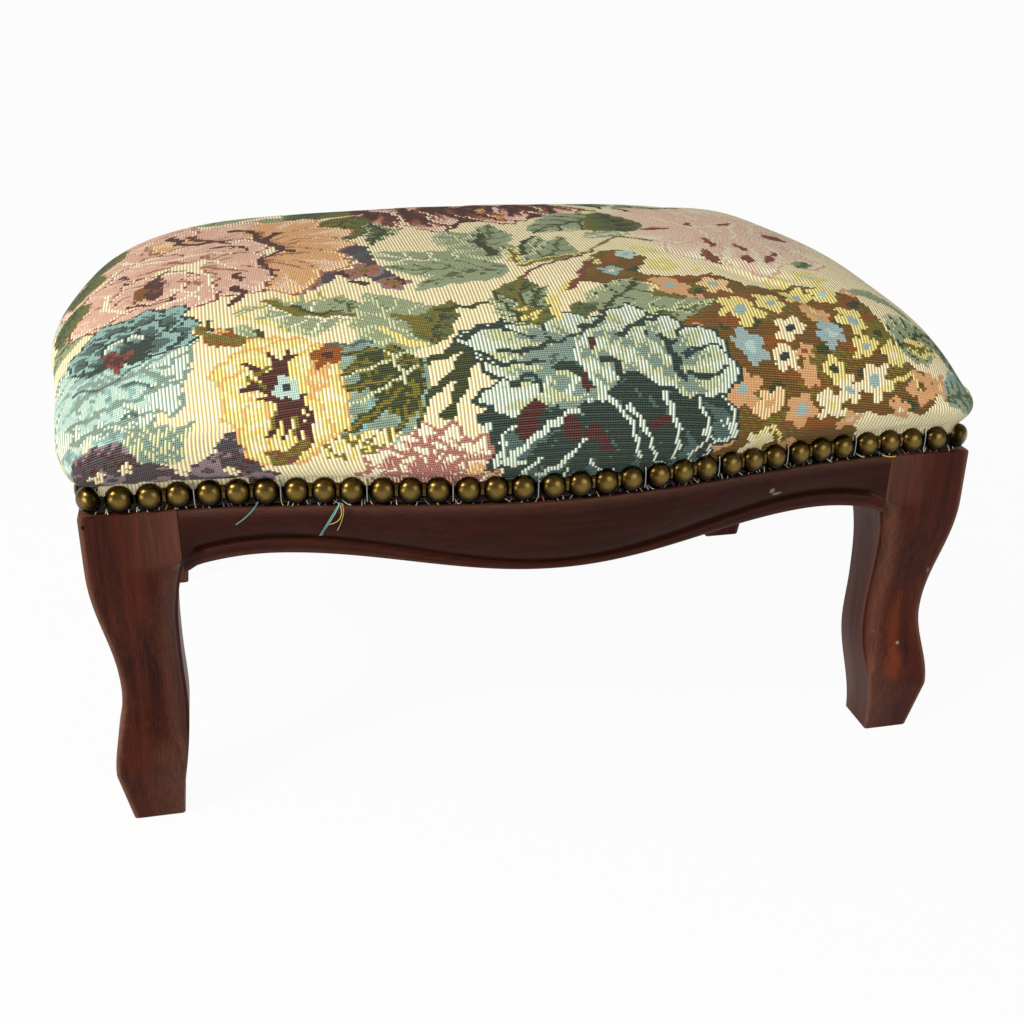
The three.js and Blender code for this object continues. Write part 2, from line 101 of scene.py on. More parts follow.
class FootstoolLegs(bpy.types.PropertyGroup):
    """Leg sawn to one curve on two faces; insets are measured from its outer faces"""
    block: length("Block", "Side of the square block at the top", float(LEG_HIGH[0] - LEG_LOW[0]))
    height: length("Height", "Floor to the top of the leg", float(LEG_HIGH[2]))
    toe_inset: length("Toe inset", "Outer faces at the floor", 5.8 * MM)
    heel_inset: length("Heel inset", "Inner faces at the floor", 26.2 * MM)
    pad_height: length("Pad height", "Where the foot kicks out furthest", 25 * MM)
    pad_inset: length("Pad inset", "Outer faces at the pad", 1.4 * MM)
    ankle_height: length("Ankle height", "The thinnest place", 62 * MM)
    ankle_inset: length("Ankle inset", "Outer faces at the ankle", 6.9 * MM)
    knee_drop: length("Knee drop", "From the top to where the outer faces come back", 22.5 * MM)
    calf_height: length("Calf height", "Where the inner faces stand out furthest", 50 * MM)
    calf_inset: length("Calf inset", "Inner faces at the calf", 31.7 * MM)
    hollow_height: length("Hollow height", "Where the sweep into the rails starts", 72 * MM)
    hollow_inset: length("Hollow inset", "Inner faces at the hollow", 31.2 * MM)
    sweep_drop: length("Sweep drop", "From the top to where the sweep ends", 24 * MM)
    sweep_power: factor("Sweep power", "How late the sweep turns out", 3)
    mould_reach: length("Moulding reach", "Across the face", 9.5 * MM)
    mould_sink: length("Moulding sink", "Into the face", 5.4 * MM)
    mould_quirk: length("Moulding quirk", "Flat step beside the inner face", 1 * MM)
    mould_low: length("Moulding foot", "Height where the moulding stops", 29 * MM)
    mould_drop: length("Moulding top", "From the top to its upper end", 19.5 * MM)
    mould_fade: length("Moulding fade", "Length over which its foot runs out", 15 * MM)
    mould_start: length("Moulding start", "The same at its upper end", 6 * MM)
    arris: length("Arris", "Radius that sanding left on the edges", 1.1 * MM)


class FootstoolRails(bpy.types.PropertyGroup):
    """Serpentine rails with a moulded face"""
    thickness: length("Thickness", "Of the rail at its ends; its back is flat", 20 * MM)
    long_swell: length("Long swell", "By which the long rails belly out in plan", 18.3 * MM)
    short_swell: length("Short swell", "The same of the short rails", 13 * MM)
    run_out: length("Run-out", "How far past the shoulder the swelling would end", 6 * MM)
    joint_depth: length("Depth at the legs", "From the top to the lower edge", 26 * MM)
    arch_depth: length("Depth at the arches", "From the top to the lower edge", 21 * MM)
    belly_depth: length("Depth in the middle", "From the top to the lower edge", 30.5 * MM)
    arch_share: factor("Arch", "Place of each arch on half the span", 0.75)
    lip: length("Lip", "Flat at the top of the face", 3 * MM)
    round_in: length("Roll", "How far the face rolls in below the lip", 6 * MM)
    step_out: length("Step", "Out again to the lower band", 2.4 * MM)
    band_belly: length("Band in the middle", "Height of the lower band", 3 * MM)
    band_arch: length("Band at the arches", "Height of the lower band", 7 * MM)
    turn_out: length("Turn-out", "Height over which the face comes out again", 2.2 * MM)
    fade: length("Fade", "Length over which the moulding fades at each leg", 6 * MM)
    arris: length("Arris", "Radius that sanding left on the edges", 0.8 * MM)


class FootstoolSeat(bpy.types.PropertyGroup):
    """Shape of the stuffed seat; a pair holds the left end and the right end"""
    ledge: length("Ledge", "Wood that shows outside the cover", 3 * MM)
    wall_base: length("Wall base", "Floor to where the cover starts to swell", 151.2 * MM)
    crown: length("Crown", "Floor to the top of the cushion", 210 * MM)
    shoulder: lengths("Shoulder", "Floor to the widest part", (174 * MM, 163.5 * MM))
    overhang: lengths("Overhang", "By which the cushion swells over the nails", (10.5 * MM, 7 * MM))
    bulge: factors("Bulge", "How late the wall swells out", (0.55, 1))
    front_swell: length("Front swell", "Left of the rails' swelling at the shoulder", 11 * MM)
    back_swell: length("Back swell", "The same at the back", 6 * MM)
    side_swell: length("Side swell", "The same at the sides", 7 * MM)
    nail_corner: factor("Nailed corner", "Squareness of the plan there", 60)
    nail_drop: length("Nail drop", "Nails below the middle of the board", 0.8 * MM)
    # Painted shade with dirt on the turned-in edge, under and between the nail heads
    shaded_hem_rise: length("Hem rise", "Dark turned-in edge, above the middle of the nails", 1.5 * MM)
    soft_corner: factors("Soft corner", "Squareness of the plan at the shoulder", (7.2, 14))
    top_corner: factor("Top corner", "Squareness of the plan near the crown", 4.6)
    spread: factors("Spread", "Flatness of the dome's top", (4.7, 6.6))
    lift: factors("Lift", "Steepness of the dome's sides", (1.42, 1.22))
    cloth: length("Cloth", "Thickness of the cover", 1.5 * MM)
    pressure: factor("Pressure", "Of the foam against the cover", 1)
    cap: length("Cap", "Furthest that the pressure may move the cover", 3 * MM)
    rib: length("Rib", "Pitch of the ribs that the warp makes", 1.4 * MM)
    weft: length("Weft", "Pitch of the rows of weft", 0.93 * MM)


class FootstoolNails(bpy.types.PropertyGroup):
    """Strips of pressed nail heads"""
    radius: length("Radius", "Of a head", 5.2 * MM)
    height: length("Height", "Of a head's dome", 4.2 * MM)
    pitch: length("Pitch", "From head to head", 10.8 * MM)
    web_width: length("Web width", "Of the neck between two heads", 6.2 * MM)
    web_height: length("Web height", "Of that neck", 2.0 * MM)
    clearance: length("Clearance", "Between the heads and the cloth", 0.15 * MM)
    draw_in: factor("Draw-in", "Share by which a strip's heads stand closer", 0.035)


class FootstoolFinishes(bpy.types.PropertyGroup):
    """Colours of the finishes"""
    # Also the painted shade mixed into the rails all over
    stain_dark_and_shade: colour("Stain in the pores", "Darkest streaks of the wood", "#1A0906")
    stain: colour("Stain", "Most of the wood", "#38190F")
    stain_red: colour("Red stain", "Redder streaks", "#4A1E14")
    stain_light: colour("Light stain", "Lightest streaks", "#5A3022")
    # Also the colour of the painted highlight down the legs' moulded roll
    worn_and_highlight: colour("Worn edges", "Where sanding thinned the stain", "#7A5648")
    bare: colour("Rubbed patches", "Where the stain is rubbed off", "#6C321A")
    chip: colour("Nicks", "Small pale nicks in the lacquer", "#A69A8E")
    hole: colour("Old nail holes", "Dark pricks", "#0C0504")
    brass_dark: colour("Brass hollows", "Antiquing left round the heads", "#0C0803")
    brass: colour("Brass", "Most of a head", "#2D210D")
    # Also the painted light on the upper half of each head
    brass_rubbed_and_lit: colour("Rubbed brass", "Crowns of the heads", "#745F30")
    steel_dark: colour("Dull steel", "Darker clouds on the screws", "#8E8E8A")
    steel: colour("Steel", "Screws and the cut ends of the nail strips", "#9A9A94")
    foam_cells: colour("Foam cells", "Pores of the foam", "#C9B77A")
    foam: colour("Foam", "Its skin between the pores", "#EADDAE")
    beech_dark: colour("Beech streaks", "Of the corner blocks", "#9C7446")
    beech: colour("Beech", "Of the corner blocks", "#C39C68")
    plywood_dark: colour("Plywood streaks", "Of the seat board", "#B08C58")
    plywood: colour("Plywood", "Of the seat board", "#D2B284")
    paper: colour("Backdrop", "Of the floor and backdrop", "#DEDEDC")


class FootstoolStage(bpy.types.PropertyGroup):
    """Camera of the photograph and soft light"""
    eye: lengths("Eye", "Place of the camera", (-0.119884, -0.571432, 0.339823))
    turn: factors("Turn", "Rotation vector of the camera from a level view", (0.428, -0.218, -0.035))
    focal_pixels: factor("Focal length", "In pixels of a picture 1024 wide", 1289.655)
    key_power: factor("Key light", "Power in watts", 16)
    fill_power: factor("Fill light", "Power in watts", 5)
    side_power: factor("Side light", "Power in watts", 5)
    ambient: factor("Ambient", "Strength of the world's light", 0.38)


PICTURE_WIDTH = 1024
SENSOR_WIDTH = 36


# Materials

def node(tree, kind, *inputs, stops=(), **settings):
    """Adds one shader node, its kind named without the prefix ShaderNode. The inputs in use, in order,
    take the sockets or plain values given; a setting in capitals is an input by its name, another one
    a property of the node. Stops are the places and colours of a ramp. Returns the first output in
    use."""
    made = tree.nodes.new("ShaderNode" + kind)
    for key, value in settings.items():
        if key[0].islower():
            setattr(made, key, value)
    if stops:
        elements = made.color_ramp.elements
        elements.remove(elements[-1])
        elements[0].position, elements[0].color = stops[0]
        for place, tint in stops[1:]:
            elements.new(place).color = tint
    in_use = [slot for slot in made.inputs if slot.enabled]
    named = [(made.inputs[key.replace("_", " ")], value) for key, value in settings.items()
             if key[0].isupper()]
    for slot, value in (*zip(in_use, inputs), *named):
        if isinstance(value, bpy.types.NodeSocket):
            tree.links.new(value, slot)
        else:
            slot.default_value = value
    return next((slot for slot in made.outputs if slot.enabled), None)


def new_material(name):
    """Empty material and its tree"""
    material = bpy.data.materials.new(name)
    material.use_nodes = True
    material.node_tree.nodes.clear()
    return material, material.node_tree


MADE = {}


def shared_material(key, maker, context):
    """Material that several pieces share, made once"""
    if key not in MADE:
        MADE[key] = maker(context.scene.footstool_finishes)
    return MADE[key]


def scaled_place(tree, place, scale):
    """Place in millimetres, times a scale for each axis"""
    return node(tree, "Mapping", Vector=place, Scale=[s / MM for s in scale])


def object_place(tree, scale):
    return scaled_place(tree, node(tree, "TexCoord").node.outputs["Object"], scale)


# Marks on the stained wood: middle, reach along each axis in millimetres, and how bare the wood is
RUBBED_MARKS = (((160.5, -119, 54), (4.2, 9, 21), 0.6), ((161.5, -119, 36), (5.0, 9, 9), 0.7))
PALE_MARKS = (((163.2, -119, 46.4), (0.9, 6, 0.9), 0.7), ((151.2, -119, 52.1), (1.6, 6, 0.8), 0.4),
              ((89.6, -128, 131.8), (1.4, 6, 1.6), 0.5), ((92.4, -128, 129.8), (3.2, 6, 1.0), 0.5),
              ((172.5, -119, 82), (0.9, 6, 2.2), 0.25))
HOLE_MARKS = (((-178.1, -121.5, 136.7), (0.9, 2, 1.1)),)
# How torn the edges of each kind of mark are
RUBBED_TEAR, PALE_TEAR, HOLE_TEAR = 1.6, 1.2, 0.3
# Streaks 4 mm wide and fibres 0.6 mm wide, both long along the third axis, and wide soft clouds
STREAK_SCALE = (0.24, 0.24, 0.012)
FIBRE_SCALE = (1.6, 1.6, 0.05)
CLOUD_SCALE = (0.03, 0.03, 0.03)
PORE_SHARE = 0.3


def mahogany_material(finish):
    """Beech stained to mahogany under satin lacquer, sawn and sanded: dark red-brown with lighter streaks
    along the grain, fine pores, and edges where sanding thinned the stain; a painted highlight runs down
    the legs' moulded roll, and painted shade darkens the rails all over."""
    material, tree = new_material("mahogany_stained_beech_satin")
    grain = node(tree, "Attribute", attribute_name="grain").node.outputs["Vector"]
    streak_place = scaled_place(tree, grain, STREAK_SCALE)
    fibre_place = scaled_place(tree, grain, FIBRE_SCALE)
    streak = node(tree, "TexNoise", Vector=streak_place, Scale=1.0, Detail=5.0, Roughness=0.6,
                  Distortion=0.4)
    fibre = node(tree, "TexNoise", Vector=fibre_place, Scale=1.0, Detail=3.0, Roughness=0.6)
    cloud = node(tree, "TexNoise", Vector=object_place(tree, CLOUD_SCALE), Scale=1.0, Detail=2.0)
    stain = node(tree, "ValToRGB", streak, stops=[
        (0.3, finish.stain_dark_and_shade), (0.48, finish.stain), (0.64, finish.stain_red),
        (0.8, finish.stain_light)])
    pores = node(tree, "ValToRGB", fibre, stops=[
        (0.35, finish.stain_dark_and_shade), (0.52, finish.stain), (0.72, finish.stain_light)])
    wood = node(tree, "Mix", PORE_SHARE, stain, pores, data_type="RGBA")
    uneven = node(tree, "Math", cloud, 0.6, -0.12, operation="MULTIPLY_ADD")
    wood = node(tree, "Mix", uneven, wood, finish.stain_red, data_type="RGBA")
    # Sanded edges, and a painted highlight down the middle of the legs' moulded roll, lighten the wood
    arris = node(tree, "Attribute", attribute_name="arris").node.outputs["Fac"]
    thinned_and_highlight = node(tree, "Math", arris, fibre, operation="MULTIPLY")
    wood = node(tree, "Mix", thinned_and_highlight, wood, finish.worn_and_highlight, data_type="RGBA")
    # Painted shade: the rails are mixed towards the darkest stain all over, for the shade under the cushion
    deep = node(tree, "Attribute", attribute_name="deep").node.outputs["Fac"]
    wood = node(tree, "Mix", deep, wood, finish.stain_dark_and_shade, data_type="RGBA")
    place = node(tree, "TexCoord").node.outputs["Object"]
    rough = node(tree, "Math", streak, fibre, operation="ADD")
    rough = node(tree, "Math", rough, 1.0, operation="SUBTRACT")
    marks = [(*mark, finish.bare, RUBBED_TEAR) for mark in RUBBED_MARKS]
    marks += [(*mark, finish.chip, PALE_TEAR) for mark in PALE_MARKS]
    marks += [(*mark, 1.0, finish.hole, HOLE_TEAR) for mark in HOLE_MARKS]
    for middle, reach, share, tint, ragged in marks:
        offset = node(tree, "VectorMath", place, [m * MM for m in middle], operation="SUBTRACT")
        scaled = node(tree, "VectorMath", offset, [1 / (r * MM) for r in reach], operation="MULTIPLY")
        away = node(tree, "VectorMath", scaled, operation="LENGTH").node.outputs["Value"]
        torn = node(tree, "Math", rough, ragged, away, operation="MULTIPLY_ADD")
        inside = node(tree, "MapRange", torn, 1.0, 0.6, 0.0, share)
        wood = node(tree, "Mix", inside, wood, tint, data_type="RGBA")
    gloss = node(tree, "Math", fibre, 0.25, 0.3, operation="MULTIPLY_ADD")
    bump = node(tree, "Bump", Strength=0.25, Distance=0.25 * MM, Height=fibre)
    shader = node(tree, "BsdfPrincipled", Base_Color=wood, Roughness=gloss, Specular_IOR_Level=0.08,
                  Normal=bump)
    node(tree, "OutputMaterial", shader)
    return material


def plain_wood_material(name, dark, light, scale):
    """Raw wood, sawn and unfinished: pale, matt and streaked along the grain"""
    material, tree = new_material(name)
    streak = node(tree, "TexNoise", Vector=object_place(tree, scale), Scale=1.0, Detail=4.0,
                  Roughness=0.6)
    tint = node(tree, "ValToRGB", streak, stops=[(0.3, dark), (0.7, light)])
    bump = node(tree, "Bump", Strength=0.3, Distance=0.2 * MM, Height=streak)
    shader = node(tree, "BsdfPrincipled", Base_Color=tint, Roughness=0.75, Normal=bump)
    node(tree, "OutputMaterial", shader)
    return material


def steel_material(finish):
    """Zinc-plated steel, stamped: grey with a fine uneven gloss"""
    material, tree = new_material("steel_zinc_plated")
    cloudy = node(tree, "TexNoise", Vector=object_place(tree, (0.9, 0.9, 0.9)), Scale=1.0, Detail=2.0)
    tint = node(tree, "ValToRGB", cloudy, stops=[(0.35, finish.steel_dark), (0.65, finish.steel)])
    gloss = node(tree, "Math", cloudy, 0.3, 0.25, operation="MULTIPLY_ADD")
    shader = node(tree, "BsdfPrincipled", Base_Color=tint, Metallic=1.0, Roughness=gloss)
    node(tree, "OutputMaterial", shader)
    return material


def brass_material(finish):
    """Steel strips with antiqued brass plating, pressed: nearly black in the hollows round the heads,
    brown-yellow on the crowns where it was rubbed, and bare steel at the cut ends; painted light makes the
    upper half of each head lighter and the lower half darker"""
    material, tree = new_material("antique_brass_plated")
    crown = node(tree, "Attribute", attribute_name="crown").node.outputs["Fac"]
    cloudy = node(tree, "TexNoise", Vector=object_place(tree, (0.7, 0.7, 0.7)), Scale=1.0, Detail=4.0,
                  Roughness=0.65)
    uneven = node(tree, "Math", cloudy, 0.4, -0.2, operation="MULTIPLY_ADD")
    # The crown attribute holds the rubbing and the painted light on the heads' upper halves
    rubbed = node(tree, "Math", crown, uneven, operation="ADD")
    tint = node(tree, "ValToRGB", rubbed, stops=[
        (0.05, finish.brass_dark), (0.3, finish.brass), (0.75, finish.brass_rubbed_and_lit)])
    # Rubbing, with the painted light of the heads, stays below 1.5, and only the bare cut ends lie above it
    cut = node(tree, "Math", crown, 1.5, operation="GREATER_THAN")
    tint = node(tree, "Mix", cut, tint, finish.steel, data_type="RGBA")
    gloss = node(tree, "Math", cloudy, 0.3, 0.12, operation="MULTIPLY_ADD")
    bump = node(tree, "Bump", Strength=0.12, Distance=0.15 * MM, Height=cloudy)
    shader = node(tree, "BsdfPrincipled", Base_Color=tint, Metallic=1.0, Roughness=gloss, Normal=bump)
    node(tree, "OutputMaterial", shader)
    return material


def foam_material(finish):
    """Polyurethane foam, cut: pale yellow and matt, with open cells"""
    material, tree = new_material("polyurethane_foam")
    cells = node(tree, "TexVoronoi", Vector=object_place(tree, (0.7, 0.7, 0.7)), Scale=1.0)
    tint = node(tree, "ValToRGB", cells, stops=[(0.0, finish.foam_cells), (0.6, finish.foam)])
    bump = node(tree, "Bump", Strength=0.5, Distance=0.5 * MM, Height=cells)
    shader = node(tree, "BsdfPrincipled", Base_Color=tint, Roughness=0.95, Normal=bump)
    node(tree, "OutputMaterial", shader)
    return material


def yarn_material():
    """Loose cotton yarn at the cut edge of the cloth: soft and matt, each end in its own dyed colour"""
    material, tree = new_material("cotton_yarn_dyed")
    tint = node(tree, "Attribute", attribute_name="dye")
    shader = node(tree, "BsdfPrincipled", Base_Color=tint, Roughness=0.9, Sheen_Weight=0.2)
    node(tree, "OutputMaterial", shader)
    return material


# Weave effects of the tapestry: light and dark yarn; the first ones show the warp as ribs, the others
# are plain weave, in which both yarns show in turn
EFFECTS = {
    "ground": ("#F6EFCF", "#CAB67A"),
    "cream": ("#F4F0D8", "#CDC49A"),
    "yellow": ("#F0E8A0", "#BCA246"),
    "hatch": ("#D6B8A6", "#8A2C32"),
    "blush": ("#F3E4CA", "#C8948A"),
    "pale_salmon": ("#F2DCAC", "#CC9658"),
    "ice": ("#E8EEDA", "#7E9E98"),
    "pale_sage": ("#D6DAB2", "#7F9068"),
    "orange": ("#E6BC7C", "#C89450"),
    "maroon": ("#5E2E2A", "#260E10"),
    "rosewood": ("#8C4C3E", "#5A2A24"),
    "dusk": ("#B0765E", "#864E40"),
    "pink": ("#E8C0AC", "#C69684"),
    "pale_pink": ("#F0D4BE", "#DAB09A"),
    "salmon": ("#E8B884", "#C68E5C"),
    "deep_teal": ("#324840", "#0E1C1C"),
    "teal": ("#5E7A74", "#263E40"),
    "mid_teal": ("#96AC9E", "#56726A"),
    "aqua": ("#A8CCC6", "#5E9296"),
    "pale_aqua": ("#CFE6DC", "#92BCB6"),
    "dark_green": ("#46502C", "#1A2414"),
    "green": ("#6A7848", "#344424"),
    "sage": ("#AAB694", "#728664"),
    "olive": ("#8A8228", "#46440E"),
    "brown": ("#86601E", "#482E08"),
    "rust": ("#A0601E", "#642E0A"),
    "slate": ("#5E545C", "#1E1A20"),
    "mauve": ("#A08A92", "#6A5864"),
    "pale_blue": ("#B2CAC8", "#7C9CA0"),
    "coral": ("#BC8A7C", "#92464A"),
    # Not woven: painted shade with dirt for the cloth under and between the nail heads
    "hem": ("#2A241A", "#15110B"),
}
EFFECT_NAMES = list(EFFECTS)
RIBBED = 9


# Share of the weft's own colours in plain weave; they come in turn: cream, brown-pink and aqua
FLECK_SHARE = 0.07
FLECKS = ("#E8DEC0", "#B48474", "#9CC0BC")


def tapestry_material():
    """Cotton and polyester tapestry, woven on a jacquard loom: raised ribs of warp with the weft's
    colours between them, matt, with a slight fuzz at a glancing angle"""
    material, tree = new_material("cotton_jacquard_tapestry")
    yarn = node(tree, "Attribute", attribute_name="yarn").node.outputs["Fac"]
    count = len(EFFECT_NAMES)
    middle = node(tree, "Math", yarn, 0.5, operation="ADD")
    place = node(tree, "Math", middle, count, operation="DIVIDE")
    tints = []
    for kind in range(2):
        tint = node(tree, "ValToRGB", place, stops=[
            (i / count, linear(EFFECTS[name][kind])) for i, name in enumerate(EFFECT_NAMES)])
        tint.node.color_ramp.interpolation = "CONSTANT"
        tints.append(tint)
    light, dark = tints
    plain = node(tree, "Math", yarn, RIBBED - 0.5, operation="GREATER_THAN")
    cloth = node(tree, "UVMap", uv_map="Threads")
    ribs, rows = node(tree, "SeparateXYZ", cloth).node.outputs[:2]
    # One wave for each rib, one for each half rib, and one for each row of weft
    waves = []
    for along, turns in ((ribs, 2 * math.pi), (ribs, 4 * math.pi), (rows, 2 * math.pi)):
        angle = node(tree, "Math", along, turns, operation="MULTIPLY")
        waves.append(node(tree, "Math", angle, operation="COSINE"))
    rib, half, weft = waves
    # A ribbed effect is dark in the grooves, a plain one round the short dashes of its weft
    on_rib = node(tree, "Math", weft, -0.15, 0.35, operation="MULTIPLY_ADD")
    ribbed = node(tree, "Math", on_rib, rib, operation="SUBTRACT")
    dashes = node(tree, "Math", half, -0.6, 0.1, operation="MULTIPLY_ADD")
    dashed = node(tree, "Math", weft, -0.85, dashes, operation="MULTIPLY_ADD")
    shown = node(tree, "Mix", plain, ribbed, dashed)
    share = node(tree, "MapRange", shown, -0.3, 0.3, 0.0, 1.0)
    turn = node(tree, "Math", rows, 1 / 3, operation="MULTIPLY")
    turn = node(tree, "Math", turn, operation="FRACT")
    fleck = node(tree, "ValToRGB", turn, stops=[
        (i / 3, linear(code)) for i, code in enumerate(FLECKS)])
    fleck.node.color_ramp.interpolation = "CONSTANT"
    flecked = node(tree, "Math", plain, FLECK_SHARE, operation="MULTIPLY")
    light = node(tree, "Mix", flecked, light, fleck, data_type="RGBA")
    tint = node(tree, "Mix", share, dark, light, data_type="RGBA")
    height = node(tree, "Math", weft, 0.15, shown, operation="MULTIPLY_ADD")
    bump = node(tree, "Bump", Strength=0.6, Distance=0.3 * MM, Height=height)
    shader = node(tree, "BsdfPrincipled", Base_Color=tint, Roughness=0.9, Specular_IOR_Level=0.2,
                  Sheen_Weight=0.05, Sheen_Roughness=0.5, Normal=bump)
    node(tree, "OutputMaterial", shader)
    return material


# Meshes

def eased(share, start, end):
    """Runs from start to end with a level beginning and end"""
    return start + (end - start) * (1 - np.cos(np.pi * np.clip(share, 0, 1))) / 2


def bell(place, reach):
    """Runs from 1 in the middle to 0 at the reach, on both sides"""
    return eased(1 - np.abs(place) / reach, 0, 1)


def piece(name, points, faces, material, replaced=(), attributes=None, smooth=40):
    """Object of the footstool made from points and faces"""
    mesh = bpy.data.meshes.new(name)
    mesh.from_pydata(np.asarray(points).reshape(-1, 3).tolist(), [], faces)
    for key, (kind, domain, values) in (attributes or {}).items():
        field = {"FLOAT": "value", "FLOAT_VECTOR": "vector", "FLOAT_COLOR": "color"}[kind]
        mesh.attributes.new(key, kind, domain).data.foreach_set(field, np.asarray(values, "f").ravel())
    mesh.materials.append(material)
    mesh.shade_smooth()
    mesh.set_sharp_from_angle(angle=math.radians(smooth))
    mesh.update()
    made = bpy.data.objects.new(name, mesh)
    bpy.context.scene.collection.objects.link(made)
    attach(made, BODY)
    if replaced:
        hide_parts(*replaced)
    return made


def loft_faces(rings, points, capped=True):
    """Faces between rings of equal counts, with the ends closed"""
    faces = []
    for i in range(rings - 1):
        for j in range(points):
            k = (j + 1) % points
            faces.append((i * points + j, i * points + k, (i + 1) * points + k, (i + 1) * points + j))
    if capped:
        faces.append(tuple(reversed(range(points))))
        faces.append(tuple(range((rings - 1) * points, rings * points)))
    return faces


def mirrored(points, faces, sign_x, sign_y):
    """Copy for another corner, with its faces still pointing out"""
    copy = points * np.array([sign_x, sign_y, 1])
    turned = faces if sign_x * sign_y > 0 else [tuple(reversed(face)) for face in faces]
    return copy, turned


def quarter(start, end, count):
    """Angles of a part of a round, given in degrees"""
    return np.linspace(math.radians(start), math.radians(end), count)


# Legs

def leg_outer(z, leg):
    """How far the outer faces stand in at a height"""
    knee = leg.height - leg.knee_drop
    foot = leg.toe_inset + (leg.pad_inset - leg.toe_inset) * z / leg.pad_height
    shin = eased((z - leg.pad_height) / (leg.ankle_height - leg.pad_height),
                 leg.pad_inset, leg.ankle_inset)
    thigh = eased((z - leg.ankle_height) / (knee - leg.ankle_height), leg.ankle_inset, 0)
    return np.where(z < leg.pad_height, foot, np.where(z < leg.ankle_height, shin, thigh))


def leg_inner(z, leg):
    """How far the inner faces stand away from the block's outer ones at a height"""
    heel = eased(z / leg.calf_height, leg.heel_inset, leg.calf_inset)
    shin = eased((z - leg.calf_height) / (leg.hollow_height - leg.calf_height),
                 leg.calf_inset, leg.hollow_inset)
    sweep = np.clip((z - leg.hollow_height) / (leg.height - leg.sweep_drop - leg.hollow_height), 0, 1)
    thigh = leg.hollow_inset + (leg.block - leg.hollow_inset) * sweep ** leg.sweep_power
    return np.where(z < leg.calf_height, heel, np.where(z < leg.hollow_height, shin, thigh))


LEG_LEVELS = 150
MOULD_STEPS = 10
ARRIS_STEPS = 5
INNER_STEPS = 4
# Levels near the ends of a leg, as shares of its arris
END_LEVELS = (0, 0.15, 0.4, 0.7, 1)


def leg_section(z, leg):
    """Points of half a section, from its outer corner to its inner one, with how much sanding has thinned
    the stain at each, and a painted highlight down the middle of the moulded roll
    """
    end = min(z, leg.height - z)
    drawn_in = leg.arris * (1 - math.sqrt(max(0, 1 - max(0, 1 - end / leg.arris) ** 2)))
    outer = float(leg_outer(z, leg)) + drawn_in
    inner = float(leg_inner(z, leg)) - drawn_in
    top = leg.height - leg.mould_drop
    strength = float(eased(min((z - leg.mould_low) / leg.mould_fade, (top - z) / leg.mould_start), 0, 1))
    reach, sink, quirk = (strength * v for v in (leg.mould_reach, leg.mould_sink, leg.mould_quirk))
    r = leg.arris
    points = [(outer + r - r * math.cos(a), outer + r - r * math.sin(a), 1)
              for a in quarter(45, 90, ARRIS_STEPS)]
    points.append((outer + 2 * r, outer, 0.15))
    points.append((outer + 3.2 * r, outer, 0))
    points.append((0.5 * (outer + inner - leg.mould_reach), outer, 0))
    edge = r * (1 - strength)
    for a in quarter(0, 90, MOULD_STEPS):
        x = inner - reach - edge + (reach - quirk + edge) * math.sin(a)
        y = outer + (sink + edge) * (1 - math.cos(a))
        # Painted highlight: a pale band down the middle of the roll, through the colour of sanded edges;
        # where the moulding fades, the edge is really sanded
        points.append((x, y, 0.6 * (1 - abs(a / math.radians(45) - 1)) + 0.5 * (1 - strength)))
    points.append((inner, outer + sink + edge + 0.15 * MM, 0.5))
    points.append((inner, outer + sink + edge + 1.5 * MM, 0))
    points.append((inner, 0.5 * (outer + sink + inner), 0))
    points.extend((inner - r + r * math.cos(a), inner - r + r * math.sin(a), 0.5)
                  for a in quarter(0, 45, INNER_STEPS))
    return points


def leg_mesh(leg):
    """Points, faces, places in the grain, and sanded edges with the painted highlight of the roll, of a leg
    with its outer corner at the origin
    """
    near_ends = leg.arris * np.array(END_LEVELS)
    start = 1.4 * leg.arris
    levels = np.r_[near_ends, np.linspace(start, leg.height - start, LEG_LEVELS),
                   leg.height - near_ends[::-1]]
    points, wear_and_highlight = [], []
    for z in levels:
        half = leg_section(float(z), leg)
        other = [(y, x, w) for x, y, w in reversed(half[1:-1])]
        ring = half + other
        points.extend((x, y, z) for x, y, _ in ring)
        wear_and_highlight.extend(w for _, _, w in ring)
    count = len(points) // len(levels)
    return np.array(points), loft_faces(len(levels), count), np.array(wear_and_highlight)


# Rails

RAIL_STATIONS = 121
ROLL_STEPS = 14
STEP_STEPS = 7
EDGE_STEPS = 4


def rail_lower_edge(share, rail, top):
    """Height of the serpentine edge; the share is 0 in the middle and 1 at the legs"""
    place = abs(share)
    joint, arch, belly = (top - d for d in (rail.joint_depth, rail.arch_depth, rail.belly_depth))
    if place < rail.arch_share:
        return float(eased(place / rail.arch_share, belly, arch))
    return arch - (arch - joint) * ((place - rail.arch_share) / (1 - rail.arch_share)) ** 2


